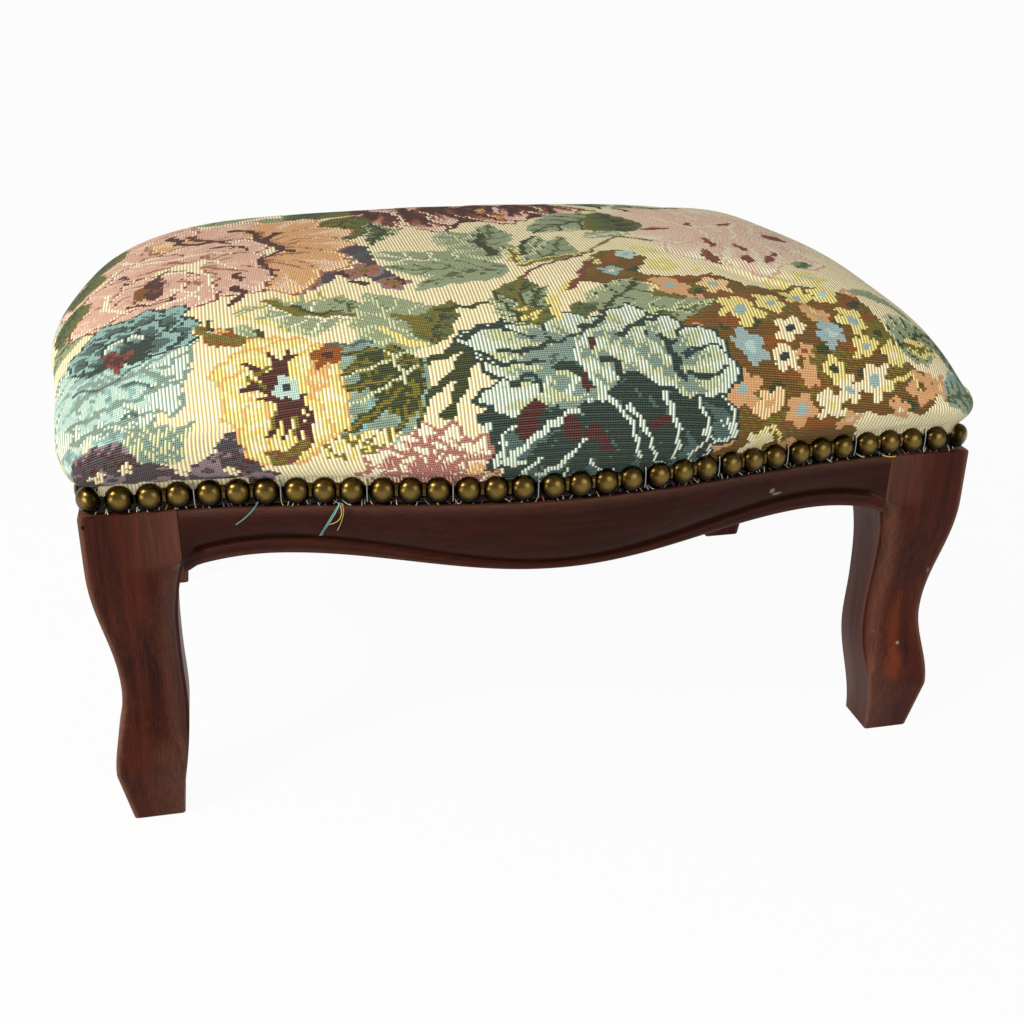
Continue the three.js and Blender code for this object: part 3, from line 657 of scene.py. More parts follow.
def rail_section(x, span, swelling, rail, top):
    """Points of one section, with how much sanding has thinned the stain at each; y 0 is the legs' outer
    face
    """
    share = x / span
    front = -swelling * float(bell(x, span + rail.run_out))
    low = rail_lower_edge(share, rail, top)
    strength = float(eased((span - abs(x)) / rail.fade, 0, 1))
    band = float(eased(abs(share) / rail.arch_share, rail.band_belly, rail.band_arch))
    lip_low, roll_low = top - rail.lip, low + band
    r = rail.arris
    points = [(rail.thickness, top, 0), (front + 3 * r, top, 0)]
    points.extend((front + r - r * math.sin(a), top - r + r * math.cos(a), 1)
                  for a in quarter(0, 90, ARRIS_STEPS))
    points.append((front, lip_low, 0.3))
    for a in quarter(0, 90, ROLL_STEPS)[1:]:
        points.append((front + rail.round_in * strength * (1 - math.cos(a)),
                       lip_low + (roll_low - lip_low) * math.sin(a), 0))
    band_face = front + (rail.round_in - rail.step_out) * strength
    edge = min(r, 0.3 * band)
    turned = roll_low - min(rail.turn_out, 0.5 * band)
    for place in np.linspace(0, 1, STEP_STEPS)[1:]:
        points.append((float(eased(place, front + rail.round_in * strength, band_face)),
                       roll_low + (turned - roll_low) * place, 0.2))
    points.append((band_face, 0.5 * (turned + low + edge), 0))
    points.extend((band_face + edge - edge * math.cos(a), low + edge - edge * math.sin(a), 0.8)
                  for a in quarter(0, 90, EDGE_STEPS))
    points.append((band_face + 3 * r, low, 0))
    points.append((rail.thickness, low, 0))
    return points


def rail_mesh(span, swelling, rail, top):
    """Points, faces and sanded edges of a rail along X, its back towards +Y, its ends glued to the legs"""
    stations = np.linspace(-span, span, RAIL_STATIONS)
    points, wear_and_highlight = [], []
    for x in stations:
        ring = rail_section(float(x), span, swelling, rail, top)
        points.extend((x, y, z) for y, z, _ in ring)
        wear_and_highlight.extend(w for _, _, w in ring)
    count = len(points) // len(stations)
    return np.array(points), loft_faces(len(stations), count), np.array(wear_and_highlight)


# Seat

HALF_WIDTH = -float(LEG_LOW[0])
HALF_DEPTH = -float(LEG_LOW[1])
LEG_BLOCK = float(LEG_HIGH[0] - LEG_LOW[0])
TOP = float(LEG_HIGH[2])
HEM = float(COVER_LOW[2])
CLOTH_FRAMES = 20
CLOTH_STIFFNESS = 15
CLOTH_BENDING = 0.5
# Level below which the nails hold the cover
NAILED_LEVEL = 0.75
# Power that crowds the dome's rings near the shoulder
RING_CROWDING = 2.2
# Keeps a division by a length from failing, in metres
TINY = 1e-9
# Distance within which a crossing of threads still lies on the cloth, in metres
ON_CLOTH = 1e-6
# Side of the smallest woven cell that is kept, as a share of the ribs' pitch
LEAST_CELL = 0.05


def nail_height(seat):
    return float(0.5 * (BOARD_LOW[2] + BOARD_HIGH[2]) - seat.nail_drop)


def seat_surface(p, q, level, seat, rail):
    """Points of the cushion. p and q say in which direction, on a square of half side 1; level is
    0 at the hem, 1 where the cover starts to swell, 2 at the shoulder and 3 at the crown."""
    p, q, level = np.broadcast_arrays(*(np.asarray(value, float) for value in (p, q, level)))
    to_right = eased((p + 1) / 2, 0, 1)
    shoulder, overhang, bulge, soft_corner, spread, lift = (
        pair[0] + (pair[1] - pair[0]) * to_right
        for pair in (seat.shoulder, seat.overhang, seat.bulge, seat.soft_corner, seat.spread, seat.lift)
    )
    hem, wall, dome = (np.clip(level - start, 0, 1) for start in (0, 1, 2))
    share = 1 - dome
    turn = np.arccos(share ** (spread / 2)) / (np.pi / 2)
    corner = np.where(level > 2, soft_corner + (seat.top_corner - soft_corner) * np.sqrt(turn),
                      seat.nail_corner * (soft_corner / seat.nail_corner) ** wall)
    reach = (np.abs(p) ** corner + np.abs(q) ** corner) ** (1 / corner)
    u, v = p / reach, q / reach
    grow = overhang * np.sin(wall * np.pi / 2) ** bulge - seat.ledge
    x, y = u * (HALF_WIDTH + grow), v * (HALF_DEPTH + grow)
    front, back, side = (
        nailed + (soft - nailed) * wall
        for nailed, soft in ((rail.long_swell, seat.front_swell), (rail.long_swell, seat.back_swell),
                             (rail.short_swell, seat.side_swell))
    )
    long_bell = bell(x, HALF_WIDTH - LEG_BLOCK + rail.run_out)
    short_bell = bell(y, HALF_DEPTH - LEG_BLOCK + rail.run_out)
    rise = (1 - share ** spread) ** (1 / lift)
    z = np.where(level > 2, shoulder + (seat.crown - shoulder) * rise,
                 np.where(level > 1, seat.wall_base + (shoulder - seat.wall_base) * wall,
                          HEM + (seat.wall_base - HEM) * hem))
    return np.stack([share * (x + u * side * short_bell),
                     share * (y + v * np.where(v < 0, front, back) * long_bell), z], -1)


def square_columns(long, short):
    """Directions round the seat, from its front left corner"""
    a = np.linspace(-1, 1, long, endpoint=False)
    b = np.linspace(-1, 1, short, endpoint=False)
    return np.r_[a, np.ones(short), -a, -np.ones(short)], np.r_[-np.ones(long), b, np.ones(long), -b]


def seat_rings(seat, rail, columns=(240, 160), hem=8, wall=24, dome=80):
    """Rings of points from the hem to the crown, and their levels"""
    p, q = square_columns(*columns)
    levels = np.r_[np.linspace(0, 1, hem)[:-1], 1 + np.linspace(0, 1, wall)[:-1],
                   2 + np.linspace(0, 1, dome) ** RING_CROWDING]
    return seat_surface(p[None, :], q[None, :], levels[:, None], seat, rail), levels


def pressed_out(seat, rail):
    """How far cloth simulation moves a coarse cover, nailed round its edge, when the foam presses from
    inside; and the levels of its rings"""
    rings, levels = seat_rings(seat, rail, columns=(60, 40), hem=3, wall=6, dome=22)
    count = rings.shape[1]
    points = np.r_[rings[:-1].reshape(-1, 3), rings[-1, :1]]
    faces = loft_faces(len(levels) - 1, count, capped=False)
    faces += [(len(points) - 1 - count + j, len(points) - 1 - count + (j + 1) % count, len(points) - 1)
              for j in range(count)]
    mesh = bpy.data.meshes.new("pressed_cover")
    mesh.from_pydata(points.tolist(), [], faces)
    shell = bpy.data.objects.new("pressed_cover", mesh)
    scene = bpy.context.scene
    scene.collection.objects.link(shell)
    nailed = np.flatnonzero(np.repeat(levels[:-1] <= NAILED_LEVEL, count))
    shell.vertex_groups.new(name="nailed").add(nailed.tolist(), 1.0, "REPLACE")
    cloth = shell.modifiers.new("cloth", "CLOTH")
    settings = cloth.settings
    settings.vertex_group_mass = "nailed"
    settings.use_pressure = True
    settings.uniform_pressure_force = seat.pressure
    settings.effector_weights.gravity = 0
    settings.tension_stiffness = settings.compression_stiffness = CLOTH_STIFFNESS
    settings.bending_stiffness = CLOTH_BENDING
    cloth.point_cache.frame_end = CLOTH_FRAMES
    for number in range(1, CLOTH_FRAMES + 1):
        scene.frame_set(number)
    settled = shell.evaluated_get(bpy.context.evaluated_depsgraph_get()).to_mesh()
    places = np.empty(3 * len(points), "f")
    settled.vertices.foreach_get("co", places)
    moves = places.reshape(-1, 3) - points
    bpy.data.objects.remove(shell)
    scene.frame_set(1)
    far = np.linalg.norm(moves, axis=-1, keepdims=True)
    moves *= np.minimum(1, seat.cap / np.maximum(far, TINY))
    moves = np.r_[moves[:-1].reshape(len(levels) - 1, count, 3), np.repeat(moves[None, -1:], count, 1)]
    return moves, levels


def cover_rings(seat, rail):
    """Rings of the finished cover, made once"""
    if "rings" in MADE:
        return MADE["rings"]
    rings, levels = seat_rings(seat, rail)
    moves, coarse = pressed_out(seat, rail)
    columns = rings.shape[1]
    moves = np.fft.irfft(np.fft.rfft(moves, axis=1), n=columns, axis=1) * columns / moves.shape[1]
    between = np.interp(levels, coarse, np.arange(len(coarse)))
    low = np.minimum(between.astype(int), len(coarse) - 2)
    share = (between - low)[:, None, None]
    MADE["rings"] = rings + moves[low] * (1 - share) + moves[low + 1] * share
    return MADE["rings"]


def laid_flat(rings):
    """Where each point of the rings lies on the flat cloth: its plan, moved out along the plan's
    normal by the cloth that the slope takes up"""
    tangent = (np.roll(rings, -1, 1) - np.roll(rings, 1, 1))[..., :2]
    normal = np.stack([tangent[..., 1], -tangent[..., 0]], -1)
    normal /= np.maximum(np.linalg.norm(normal, axis=-1, keepdims=True), TINY)
    step = np.diff(rings[::-1], axis=0)
    outward = np.sign((step[..., :2] * normal[::-1][1:]).sum(-1))
    spare = np.linalg.norm(step, axis=-1) - np.linalg.norm(step[..., :2], axis=-1) * outward
    spare = np.r_[np.zeros((1, rings.shape[1])), np.cumsum(spare, 0)][::-1]
    return rings[..., :2] + normal * spare[..., None]


def cover_grid(seat, rail):
    """Grid of threads laid on the cushion: rib and row numbers, points, and which crossings are cloth"""
    rings = cover_rings(seat, rail)
    flat = laid_flat(seat_rings(seat, rail)[0])
    levels, columns = rings.shape[:2]
    flat_points = [(x, y, 0) for x, y in flat.reshape(-1, 2)]
    space = [Vector(point) for point in rings.reshape(-1, 3)]
    triangles = []
    for i in range(levels - 1):
        for j in range(columns):
            k = (j + 1) % columns
            a, b = i * columns + j, i * columns + k
            c, d = (i + 1) * columns + k, (i + 1) * columns + j
            triangles.append((a, b, c))
            if i < levels - 2:
                triangles.append((a, c, d))
    tree = BVHTree.FromPolygons(flat_points, triangles, all_triangles=True)
    corners = [Vector(point) for point in flat_points]
    low, high = flat.reshape(-1, 2).min(0), flat.reshape(-1, 2).max(0)
    pitch = np.array([seat.rib, seat.weft])
    first = np.floor(low / pitch).astype(int)
    last = np.ceil(high / pitch).astype(int)
    ribs, rows = np.arange(first[0], last[0] + 1), np.arange(first[1], last[1] + 1)
    points = np.zeros((len(ribs), len(rows), 3))
    inside = np.zeros((len(ribs), len(rows)), bool)
    for i, rib in enumerate(ribs):
        for j, row in enumerate(rows):
            place, _, index, distance = tree.find_nearest(Vector((rib * seat.rib, row * seat.weft, 0)))
            face = triangles[index]
            points[i, j] = barycentric_transform(place, *(corners[v] for v in face),
                                                 *(space[v] for v in face))
            inside[i, j] = distance < ON_CLOTH
    return ribs, rows, points, inside


class PointPaper:
    """The weaver's draft: the weave effect of each cell of the flat cloth, painted motif over motif.
    Places and sizes are in millimetres, angles in degrees from the cloth's right."""
    RIB, WEFT = 1.4, 0.93
    WHORLS = ((1.0, 6, 0), (0.78, 6, 30), (0.55, 5, 10), (0.34, 4, 50))

    def __init__(self, u, v):
        # Slow and quick waves keep the outlines from looking ruled
        self.u = u + 1.3 * np.sin(0.19 * v + 0.06 * u) + 0.6 * np.sin(0.71 * v - 0.23 * u)
        self.v = v + 1.2 * np.sin(0.17 * u - 0.05 * v) + 0.6 * np.sin(0.67 * u + 0.31 * v)
        rib, row = np.round(u / self.RIB).astype(int), np.round(v / self.WEFT).astype(int)
        self.threshold = ((2 * rib + row) % 5 - 2) / 5
        self.effect = np.zeros(u.shape, int)

    def fill(self, where, name):
        self.effect[where] = EFFECT_NAMES.index(name)

    def shade(self, where, level, tones):
        """Tones from dark, level 0, to light, level 1, mixed by a satin of five"""
        number = np.clip(np.floor(level * len(tones) + self.threshold), 0, len(tones) - 1).astype(int)
        self.effect[where] = np.array([EFFECT_NAMES.index(name) for name in tones])[number][where]

    def local(self, place, turn):
        """Places seen from a motif: along its axis, and across it to the left"""
        c, s = math.cos(math.radians(turn)), math.sin(math.radians(turn))
        x, y = self.u - place[0], self.v - place[1]
        return x * c + y * s, y * c - x * s

    def between(self, start, end):
        """Places seen along the way from start to end, and its length"""
        x, y = self.local(start, math.degrees(math.atan2(end[1] - start[1], end[0] - start[0])))
        return x, y, math.dist(start, end)

    def each(self, mark, rows, *same, **more):
        """One mark for each row of numbers"""
        for row in rows:
            mark(*row, *same, **more)

    def spot(self, right, up, long, wide, turn, *tones):
        """Oval, lighter towards its upper left"""
        x, y = self.local((right, up), turn)
        light = 0.5 + 0.35 * (self.v - up - (self.u - right)) / (long + wide)
        self.shade((x / long) ** 2 + (y / wide) ** 2 < 1, light, tones)

    def petal(self, right, up, turn, long, wide, tones, line=None, folds=9):
        """Rounded petal, dark at its base and light at its rim, with folds that fan out"""
        x, y = self.local((right, up), turn)
        x = x / long
        angle = np.arctan2(y / wide, x - 0.45)
        fan = np.arctan2(y / wide, x + 0.15)
        waved = 1 + 0.05 * np.cos(6 * angle) + 0.03 * np.sin(5 * fan * folds)
        reach = np.hypot((x - 0.5) * 2, 2 * y / wide) / waved
        inside = reach < 1
        level = 0.08 + 0.75 * x + 0.16 * np.sin(folds * fan + 2.2 * x) + 0.1 * np.sin(2.3 * folds * fan)
        self.shade(inside, level, tones)
        self.fill((np.abs(reach - 1.0) < 1.1 / wide) & (x > 0.15), line or tones[0])
        self.fill(inside & (reach > 1 - 4.4 / wide) & (reach < 1 - 1.1 / wide) & (x > 0.5), tones[-1])

    def fan(self, right, up, rows, *same, **more):
        """Petals from one base, each row its turn, length and width"""
        for row in rows:
            self.petal(right, up, *row, *same, **more)

    def rose(self, place, radius, turn, tones, heart, whorls=WHORLS):
        """Cabbage rose seen from above: whorls of petals, the outer ones first, each given by its
        share of the radius, its count of petals and its turn"""
        for share, count, phase in whorls:
            for i in range(count):
                angle = turn + phase + 360 * i / count
                long = radius * share * (0.78 + 0.1 * math.sin(2.4 * i + phase))
                wide = 2 * radius * share * math.sin(math.pi / count) * 1.3
                right = place[0] + 0.22 * radius * share * math.cos(math.radians(angle))
                up = place[1] + 0.22 * radius * share * math.sin(math.radians(angle))
                self.petal(right, up, angle, long, wide, tones)
        x, y = self.local(place, turn)
        swirl = np.hypot(x, y) / radius
        spin = np.sin(3 * np.arctan2(y, x) + 26 * swirl)
        self.fill((swirl < 0.17) & (spin > -0.2), heart)

    def leaf(self, right, up, tip_right, tip_up, wide, tones, vein, bend=0.1, veins=5):
        """Pointed leaf with a toothed edge and slanting veins; its left half is lighter"""
        x, y, long = self.between((right, up), (tip_right, tip_up))
        t = x / long
        y = y - bend * long * np.sin(np.pi * np.clip(t, 0, 1))
        teeth = 1 + 0.16 * np.abs(((t * 7) % 1) - 0.5)
        half = 0.5 * wide * np.sin(np.pi * np.clip(t, 0, 1) ** 0.75) ** 0.8 * teeth
        inside = (t > 0) & (t < 1) & (np.abs(y) < half)
        edge = np.abs(y) / np.maximum(half, 0.1)
        slope = (t * veins - edge * 0.9) % 1
        level = 0.05 + 0.5 * edge + 0.22 * (y > 0) + 0.3 * slope
        self.shade(inside, level, tones)
        self.fill(inside & (slope < 0.16) & (edge < 0.85), vein)
        self.fill(inside & (np.abs(y) < 0.8), vein)

    def stem(self, line, wide, name, taper=0.5):
        """Line through points, thinner towards its end"""
        points = list(zip(line[::2], line[1::2]))
        for i, (start, end) in enumerate(zip(points[:-1], points[1:])):
            x, y, long = self.between(start, end)
            t = np.clip(x, 0, long)
            along = (i + t / long) / (len(points) - 1)
            self.fill(np.hypot(x - t, y) < 0.5 * wide * (1 - taper * along), name)

    def stems(self, name, taper, rows):
        """Lines of one yarn, each row its width and then its points"""
        for wide, *line in rows:
            self.stem(line, wide, name, taper)

    def field(self, corners, tones, level=0.5):
        """Area with a few corners, its edge frayed by the satin"""
        points = list(zip(corners[::2], corners[1::2]))
        inside = np.zeros(self.u.shape, bool)
        for (a, b), (c, d) in zip(points, points[1:] + points[:1]):
            if b != d:
                crosses = (b > self.v) != (d > self.v)
                inside ^= crosses & (self.u < a + (c - a) * (self.v - b) / (d - b))
        wave = 0.25 * np.sin(0.33 * self.u + 0.5 * self.v) + 0.15 * np.sin(0.9 * self.u - 0.4 * self.v)
        self.shade(inside, level + wave, tones)

    def blossom(self, place, radius, petals, eye, turn=0, count=5):
        """Small flower of one yarn, with an eye of another"""
        x, y = self.local(place, turn)
        angle, reach = np.arctan2(y, x), np.hypot(x, y)
        self.fill(reach < radius * (0.62 + 0.4 * np.abs(np.cos(count / 2 * angle))), petals)
        self.fill(reach < 0.3 * radius, eye)

    def burst(self, place, radius, rays, wide, name, turn=0, start=0.15):
        """Rays from a flower's eye"""
        for i in range(rays):
            angle = math.radians(turn + 360 * i / rays)
            far = radius * (0.75 + 0.25 * math.sin(2.1 * i + 1))
            a = (place[0] + start * radius * math.cos(angle), place[1] + start * radius * math.sin(angle))
            b = (place[0] + far * math.cos(angle), place[1] + far * math.sin(angle))
            self.stem((*a, *b), wide, name, taper=0.75)


# Tones of the motifs, each from its darkest effect to its lightest
PINKS = ("dusk", "pink", "pink", "pink", "pale_pink", "pink", "blush")
FADED = ("pale_pink", "blush", "pale_pink", "blush", "blush", "cream")
SALMONS = ("dusk", "salmon", "salmon", "salmon", "pale_pink", "pale_salmon")
WINES = ("maroon", "maroon", "rosewood", "dusk", "pink", "blush")
TEALS = ("deep_teal", "teal", "mid_teal", "aqua", "ice")
ICES = ("mid_teal", "aqua", "pale_aqua", "pale_aqua", "ice", "ice")
GREYS = ("mid_teal", "mid_teal", "pale_sage", "pale_sage", "ice", "ice")
BLUES = ("deep_teal", "deep_teal", "teal", "teal", "aqua")
DEEPS = ("deep_teal", "deep_teal", "deep_teal", "teal", "teal", "ice")
SAGES = ("green", "sage", "sage", "sage", "pale_sage")
MIDS = ("dark_green", "green", "sage", "sage")
DARKS = ("dark_green", "dark_green", "green", "olive")
YOLKS = ("yellow", "yellow", "ground", "yellow", "ground", "yellow")


def pink_rose(paper):
    paper.each(paper.petal, (
        (-150, 44, 98, 54, 42), (-150, 15, 95, 50, 50), (-150, 10, 140, 46, 46), (-160, -5, 180, 36, 52),
        (-155, -20, 205, 40, 44), (-130, 20, 60, 44, 40), (-150, 25, 75, 44, 26)), PINKS)
    paper.each(paper.petal, (
        (-122, 8, 128, 52, 20), (-102, 12, 62, 42, 34), (-100, 0, 20, 38, 34), (-98, -8, -8, 34, 26),
        (-104, -22, -38, 42, 34), (-104, -30, -75, 44, 30)), SALMONS, "dusk")
    paper.each(paper.petal, (
        (-125, -12, 60, 32, 34), (-130, -8, 105, 34, 38), (-140, -5, 150, 34, 34), (-128, -20, -20, 26, 34),
        (-128, -28, -62, 44, 32), (-138, -32, -95, 44, 34), (-148, -35, -120, 42, 34),
        (-155, -32, -155, 36, 34), (-158, -20, 165, 30, 30)), PINKS, "rosewood")
    paper.fan(-151, -35, (
        (0, 19, 24), (60, 22, 20), (120, 22, 20), (180, 19, 24), (240, 20, 22),
        (300, 20, 22)), PINKS, "rosewood")
    paper.stems("cream", 0.4, (
        (2.6, -143, -18, -134, -22, -128, -36, -124, -54), (2.6, -136, -12, -122, -16, -116, -32),
        (2.6, -172, -20, -170, -38, -162, -54), (2.6, -150, -62, -136, -60, -128, -50),
        (2.6, -160, 14, -146, 4, -132, 4, -118, -6), (2.6, -166, 36, -160, 22, -148, 14),
        (2.6, -140, -44, -134, -54, -132, -66), (2.6, -178, 0, -172, 14, -166, 24)))
    paper.field((-154, -22, -148, -20, -146, -34, -144, -46, -150, -51, -153, -40,
            -157, -32), ("maroon", "maroon", "rosewood"))
    paper.spot(-155, -36, 2.6, 9, 10, "brown", "rust")
    paper.stems("maroon", 0.5, (
        (2.4, -150, -22, -146, -16, -142, -12), (2.2, -160, -48, -152, -54, -144, -58, -140, -52),
        (2.6, -165, 2, -162, -4), (2.4, -163, -12, -160, -18),
        (5, -144, 56, -140, 42, -142, 34, -132, 26, -122, 22, -117, 14), (4, -134, 46, -134, 36, -124, 24),
        (5, -115, 40, -108, 34, -105, 18, -103, 8),
        (4.6, -97, 22, -101, 10, -98, -4, -96, -14, -104, -24, -104, -38, -101, -52),
        (3, -96, -14, -90, -20), (3.4, -117, -40, -113, -50), (5, -116, -58, -114, -66, -120, -76),
        (3, -124, 10, -112, 4, -110, -6)))
    paper.stems("salmon", 0.3, (
        (1.8, -100, -38, -90, -48, -84, -58), (1.8, -101, -46, -96, -60), (1.8, -84, 20, -82, 4, -86, -8),
        (1.8, -92, 26, -90, 10, -94, 0)))
    paper.each(paper.leaf, (
        (-172, 76, -183, 30, 20), (-180, 36, -189, -6, 18), (-185, -8, -195, -44, 18)), DARKS, "green", 0.0)


def teal_rose(paper):
    paper.fan(-165, -96, (
        (150, 34, 30), (178, 36, 34), (205, 40, 34), (232, 44, 34), (258, 40, 30), (282, 38, 30),
        (305, 38, 28), (330, 34, 26), (352, 30, 24)), ICES, "mid_teal")
    paper.fan(-162, -94, (
        (15, 32, 24), (45, 34, 24), (75, 34, 24), (105, 35, 24), (135, 32, 24)), BLUES, "deep_teal")
    paper.fan(-162, -94, ((0, 22), (50, 23), (95, 22), (140, 20)), 18, BLUES, "deep_teal", folds=5)
    paper.fan(-163, -92, ((60,), (110,)), 14, 12, TEALS, "deep_teal", folds=5)
    paper.stems("mid_teal", 0.4, (
        (2.4, -186, -110, -170, -106, -156, -110, -142, -102),
        (2.4, -188, -119, -172, -118, -156, -122, -140, -114), (2.4, -184, -128, -170, -126, -158, -130),
        (2.4, -178, -100, -168, -104), (2.4, -150, -112, -142, -118)))
    paper.stems("teal", 0.3, (
        (1.6, -182, -102, -168, -108, -150, -104), (1.6, -164, -126, -158, -128),
        (1.6, -160, -112, -150, -118)))
    paper.field((-172, -88, -166, -86, -164, -92, -157, -93, -159, -99, -161, -105,
            -166, -98), ("maroon", "rosewood"))
    paper.field((-198, -128, -158, -132, -148, -142, -160, -146,
            -196, -142), ("mid_teal", "aqua", "pale_aqua", "ground"))


def slate_sprigs(paper):
    paper.field((-162, -131, -138, -134, -139, -148, -160, -146), ("pale_sage", "mid_teal", "pale_sage"))
    paper.each(paper.spot, (
        (-160, -151, 17, 6.5, -6), (-128, -157, 15, 8, 12), (-190, -147, 13, 6, -16),
        (-122, -146, 6, 5, 0)), "slate", "slate", "slate", "mauve")
    paper.each(paper.leaf, (
        (-190, -140, -152, -147, 11), (-184, -150, -160, -156, 7), (-151, -150, -142, -162, 8),
        (-136, -166, -112, -150, 13), (-124, -170, -110, -160, 8),
        (-196, -148, -176, -144, 9)), ("slate", "slate", "maroon", "slate", "mauve"), "slate", veins=7)
    for place, radius in (((-167, -153), 5), ((-133, -157), 6.5), ((-150, -158), 4), ((-118, -164), 4.5)):
        paper.blossom(place, radius, "mauve", "slate", 20)
    for place in ((-121, -145), (-178, -152)):
        paper.blossom(place, 4.6, "slate", "mauve", 50)
    for place in ((-160, -148), (-142, -154), (-126, -160), (-172, -148)):
        paper.blossom(place, 3, "ground", "hatch", 10)


def small_blossoms(paper):
    paper.each(paper.spot, (
        (-70, -24, 9, 12, 20), (-82, -30, 5, 8, 0), (-82, -58, 6, 8, 10), (-62, -40, 4, 12, 0),
        (-88, -64, 8, 4, 20), (-60, -62, 5, 10, 20)), "slate", "slate", "teal")
    for place, radius, turn in (
            ((-75, -41), 9.5, 0), ((-66, -57), 9.5, 30), ((-54, -71), 7, 10), ((-86, -66), 5, 50)):
        paper.blossom(place, radius, "mauve", "olive", turn)
        paper.blossom(place, radius * 0.75, "dusk", "olive", turn)
        paper.burst(place, radius * 0.9, 5, 1.5, "maroon", turn + 36, 0.5)
    paper.stems("maroon", 0.2, ((3, -76, -54, -72, -62), (3, -70, -68, -64, -72), (3, -52, -66, -50, -72)))


def back_rose(paper):
    paper.field((-62, 92, -60, 44, -52, 24, -20, 18, 12, 20, 40, 30, 44, 92), WINES, 0.15)
    paper.rose((-8, 74), 44, 0, WINES, "maroon", ((1.0, 7, 0), (0.7, 6, 30)))
    paper.each(paper.petal, (
        (-46, 56, 262, 58, 24), (-32, 52, 280, 50, 20), (-20, 60, 275, 44, 18), (-6, 58, 292, 46, 24),
        (10, 60, 280, 40, 22), (24, 64, 300, 44, 22), (-56, 70, 235, 26, 30)), WINES, "rosewood", folds=6)
    paper.stems("maroon", 0.4, (
        (5, -34, 64, -30, 40, -25, 14), (5, -20, 64, -14, 40, -10, 24, -16, 8), (5, 2, 60, 0, 40, 6, 22),
        (5, -50, 62, -52, 40, -54, 20), (5, 24, 60, 20, 46, 16, 32), (5, 40, 62, 36, 44, 38, 22)))
    paper.stems("blush", 0.3, (
        (2.2, -40, 50, -38, 30, -36, 12), (2.2, -24, 46, -20, 28), (2.2, 10, 54, 12, 36),
        (2.2, 30, 56, 32, 40)))
    paper.each(paper.spot, ((4, 42), (8, 26), (-8, 62)), 2.4, 7, 0, "rust", "orange")


def front_rose(paper):
    paper.field((-34, -120, -18, -112, 30, -104, 60, -114, 68, -132, 60, -148,
            -10, -136), ("teal", "mid_teal", "mid_teal"))
    paper.field((-34, -146, -8, -132, 20, -124, 60, -134, 66, -150, 62, -182, -26, -182,
            -30, -160), ("deep_teal", "deep_teal", "teal"), 0.35)
    paper.each(paper.petal, (
        (12, -142, 178, 44, 20, GREYS), (6, -150, 205, 42, 18, DEEPS), (8, -158, 222, 40, 18, DEEPS),
        (14, -160, 250, 30, 22, DEEPS), (30, -158, 275, 30, 24, DEEPS), (44, -150, 300, 34, 22, DEEPS),
        (50, -142, 325, 28, 20, DEEPS), (-4, -134, 160, 30, 16, GREYS)), "deep_teal", folds=6)
    paper.each(paper.petal, (
        (2, -122, 170, 38, 22, GREYS), (-2, -116, 150, 20, 10, GREYS), (10, -122, 98, 18, 26, GREYS),
        (28, -124, 72, 24, 26, GREYS), (40, -124, 58, 20, 18, GREYS), (46, -132, 35, 26, 24, GREYS),
        (44, -134, 2, 28, 22, GREYS)), "deep_teal", folds=6)
    paper.field((7, -124, 12, -115, 22, -112, 34, -116, 44, -126, 51, -141, 40, -139, 28, -134, 20, -140,
            13, -146, 10, -136), ("mid_teal", "mid_teal", "pale_sage", "ice"), 0.6)
    paper.stems("ice", 0.3, (
        (2.6, 8, -124, 12, -136, 16, -146, 26, -154, 34, -166),
        (1.6, 8, -123, 13, -114, 23, -111, 35, -115), (2.8, -26, -168, -12, -158, 2, -148, 10, -144),
        (2.2, -14, -174, 0, -166, 10, -158), (3, 41, -140, 44, -152, 50, -170),
        (2, 24, -148, 36, -160, 44, -172), (2.4, -32, -152, -22, -144, -8, -138),
        (2, 56, -146, 60, -156, 56, -172), (2, 10, -170, 18, -178), (2.4, 0, -140, 8, -134)))
    paper.stems("deep_teal", 0.4, (
        (3, -33, -116, -28, -110, -16, -108, -8, -111), (2.4, -22, -122, -10, -125, 2, -120, 16, -110),
        (2.4, -30, -122, -22, -129, -10, -130), (2.6, 17, -128, 25, -132, 23, -137, 34, -138, 46, -140),
        (2.6, 24, -118, 34, -112, 44, -108), (3, 42, -118, 46, -128, 50, -136),
        (2.4, 52, -134, 60, -137, 66, -132), (2.2, 50, -126, 57, -124), (2.6, 10, -112, 20, -108, 24, -104),
        (2.4, -20, -138, -12, -134, -10, -142), (4, -28, -148, -20, -152),
        (3, 6, -146, 14, -156, 18, -168)))
    paper.each(paper.spot, (
        (-14, -152, 4.2, 7.5, -25), (3, -154, 3, 5.5, 30), (11, -157, 3.6, 3, 0), (17, -163, 2.2, 4.6, 35),
        (38, -152, 5, 2.2, 20), (8, -137, 1.6, 5, -15), (14, -120, 1.2, 3, 0)), "maroon")


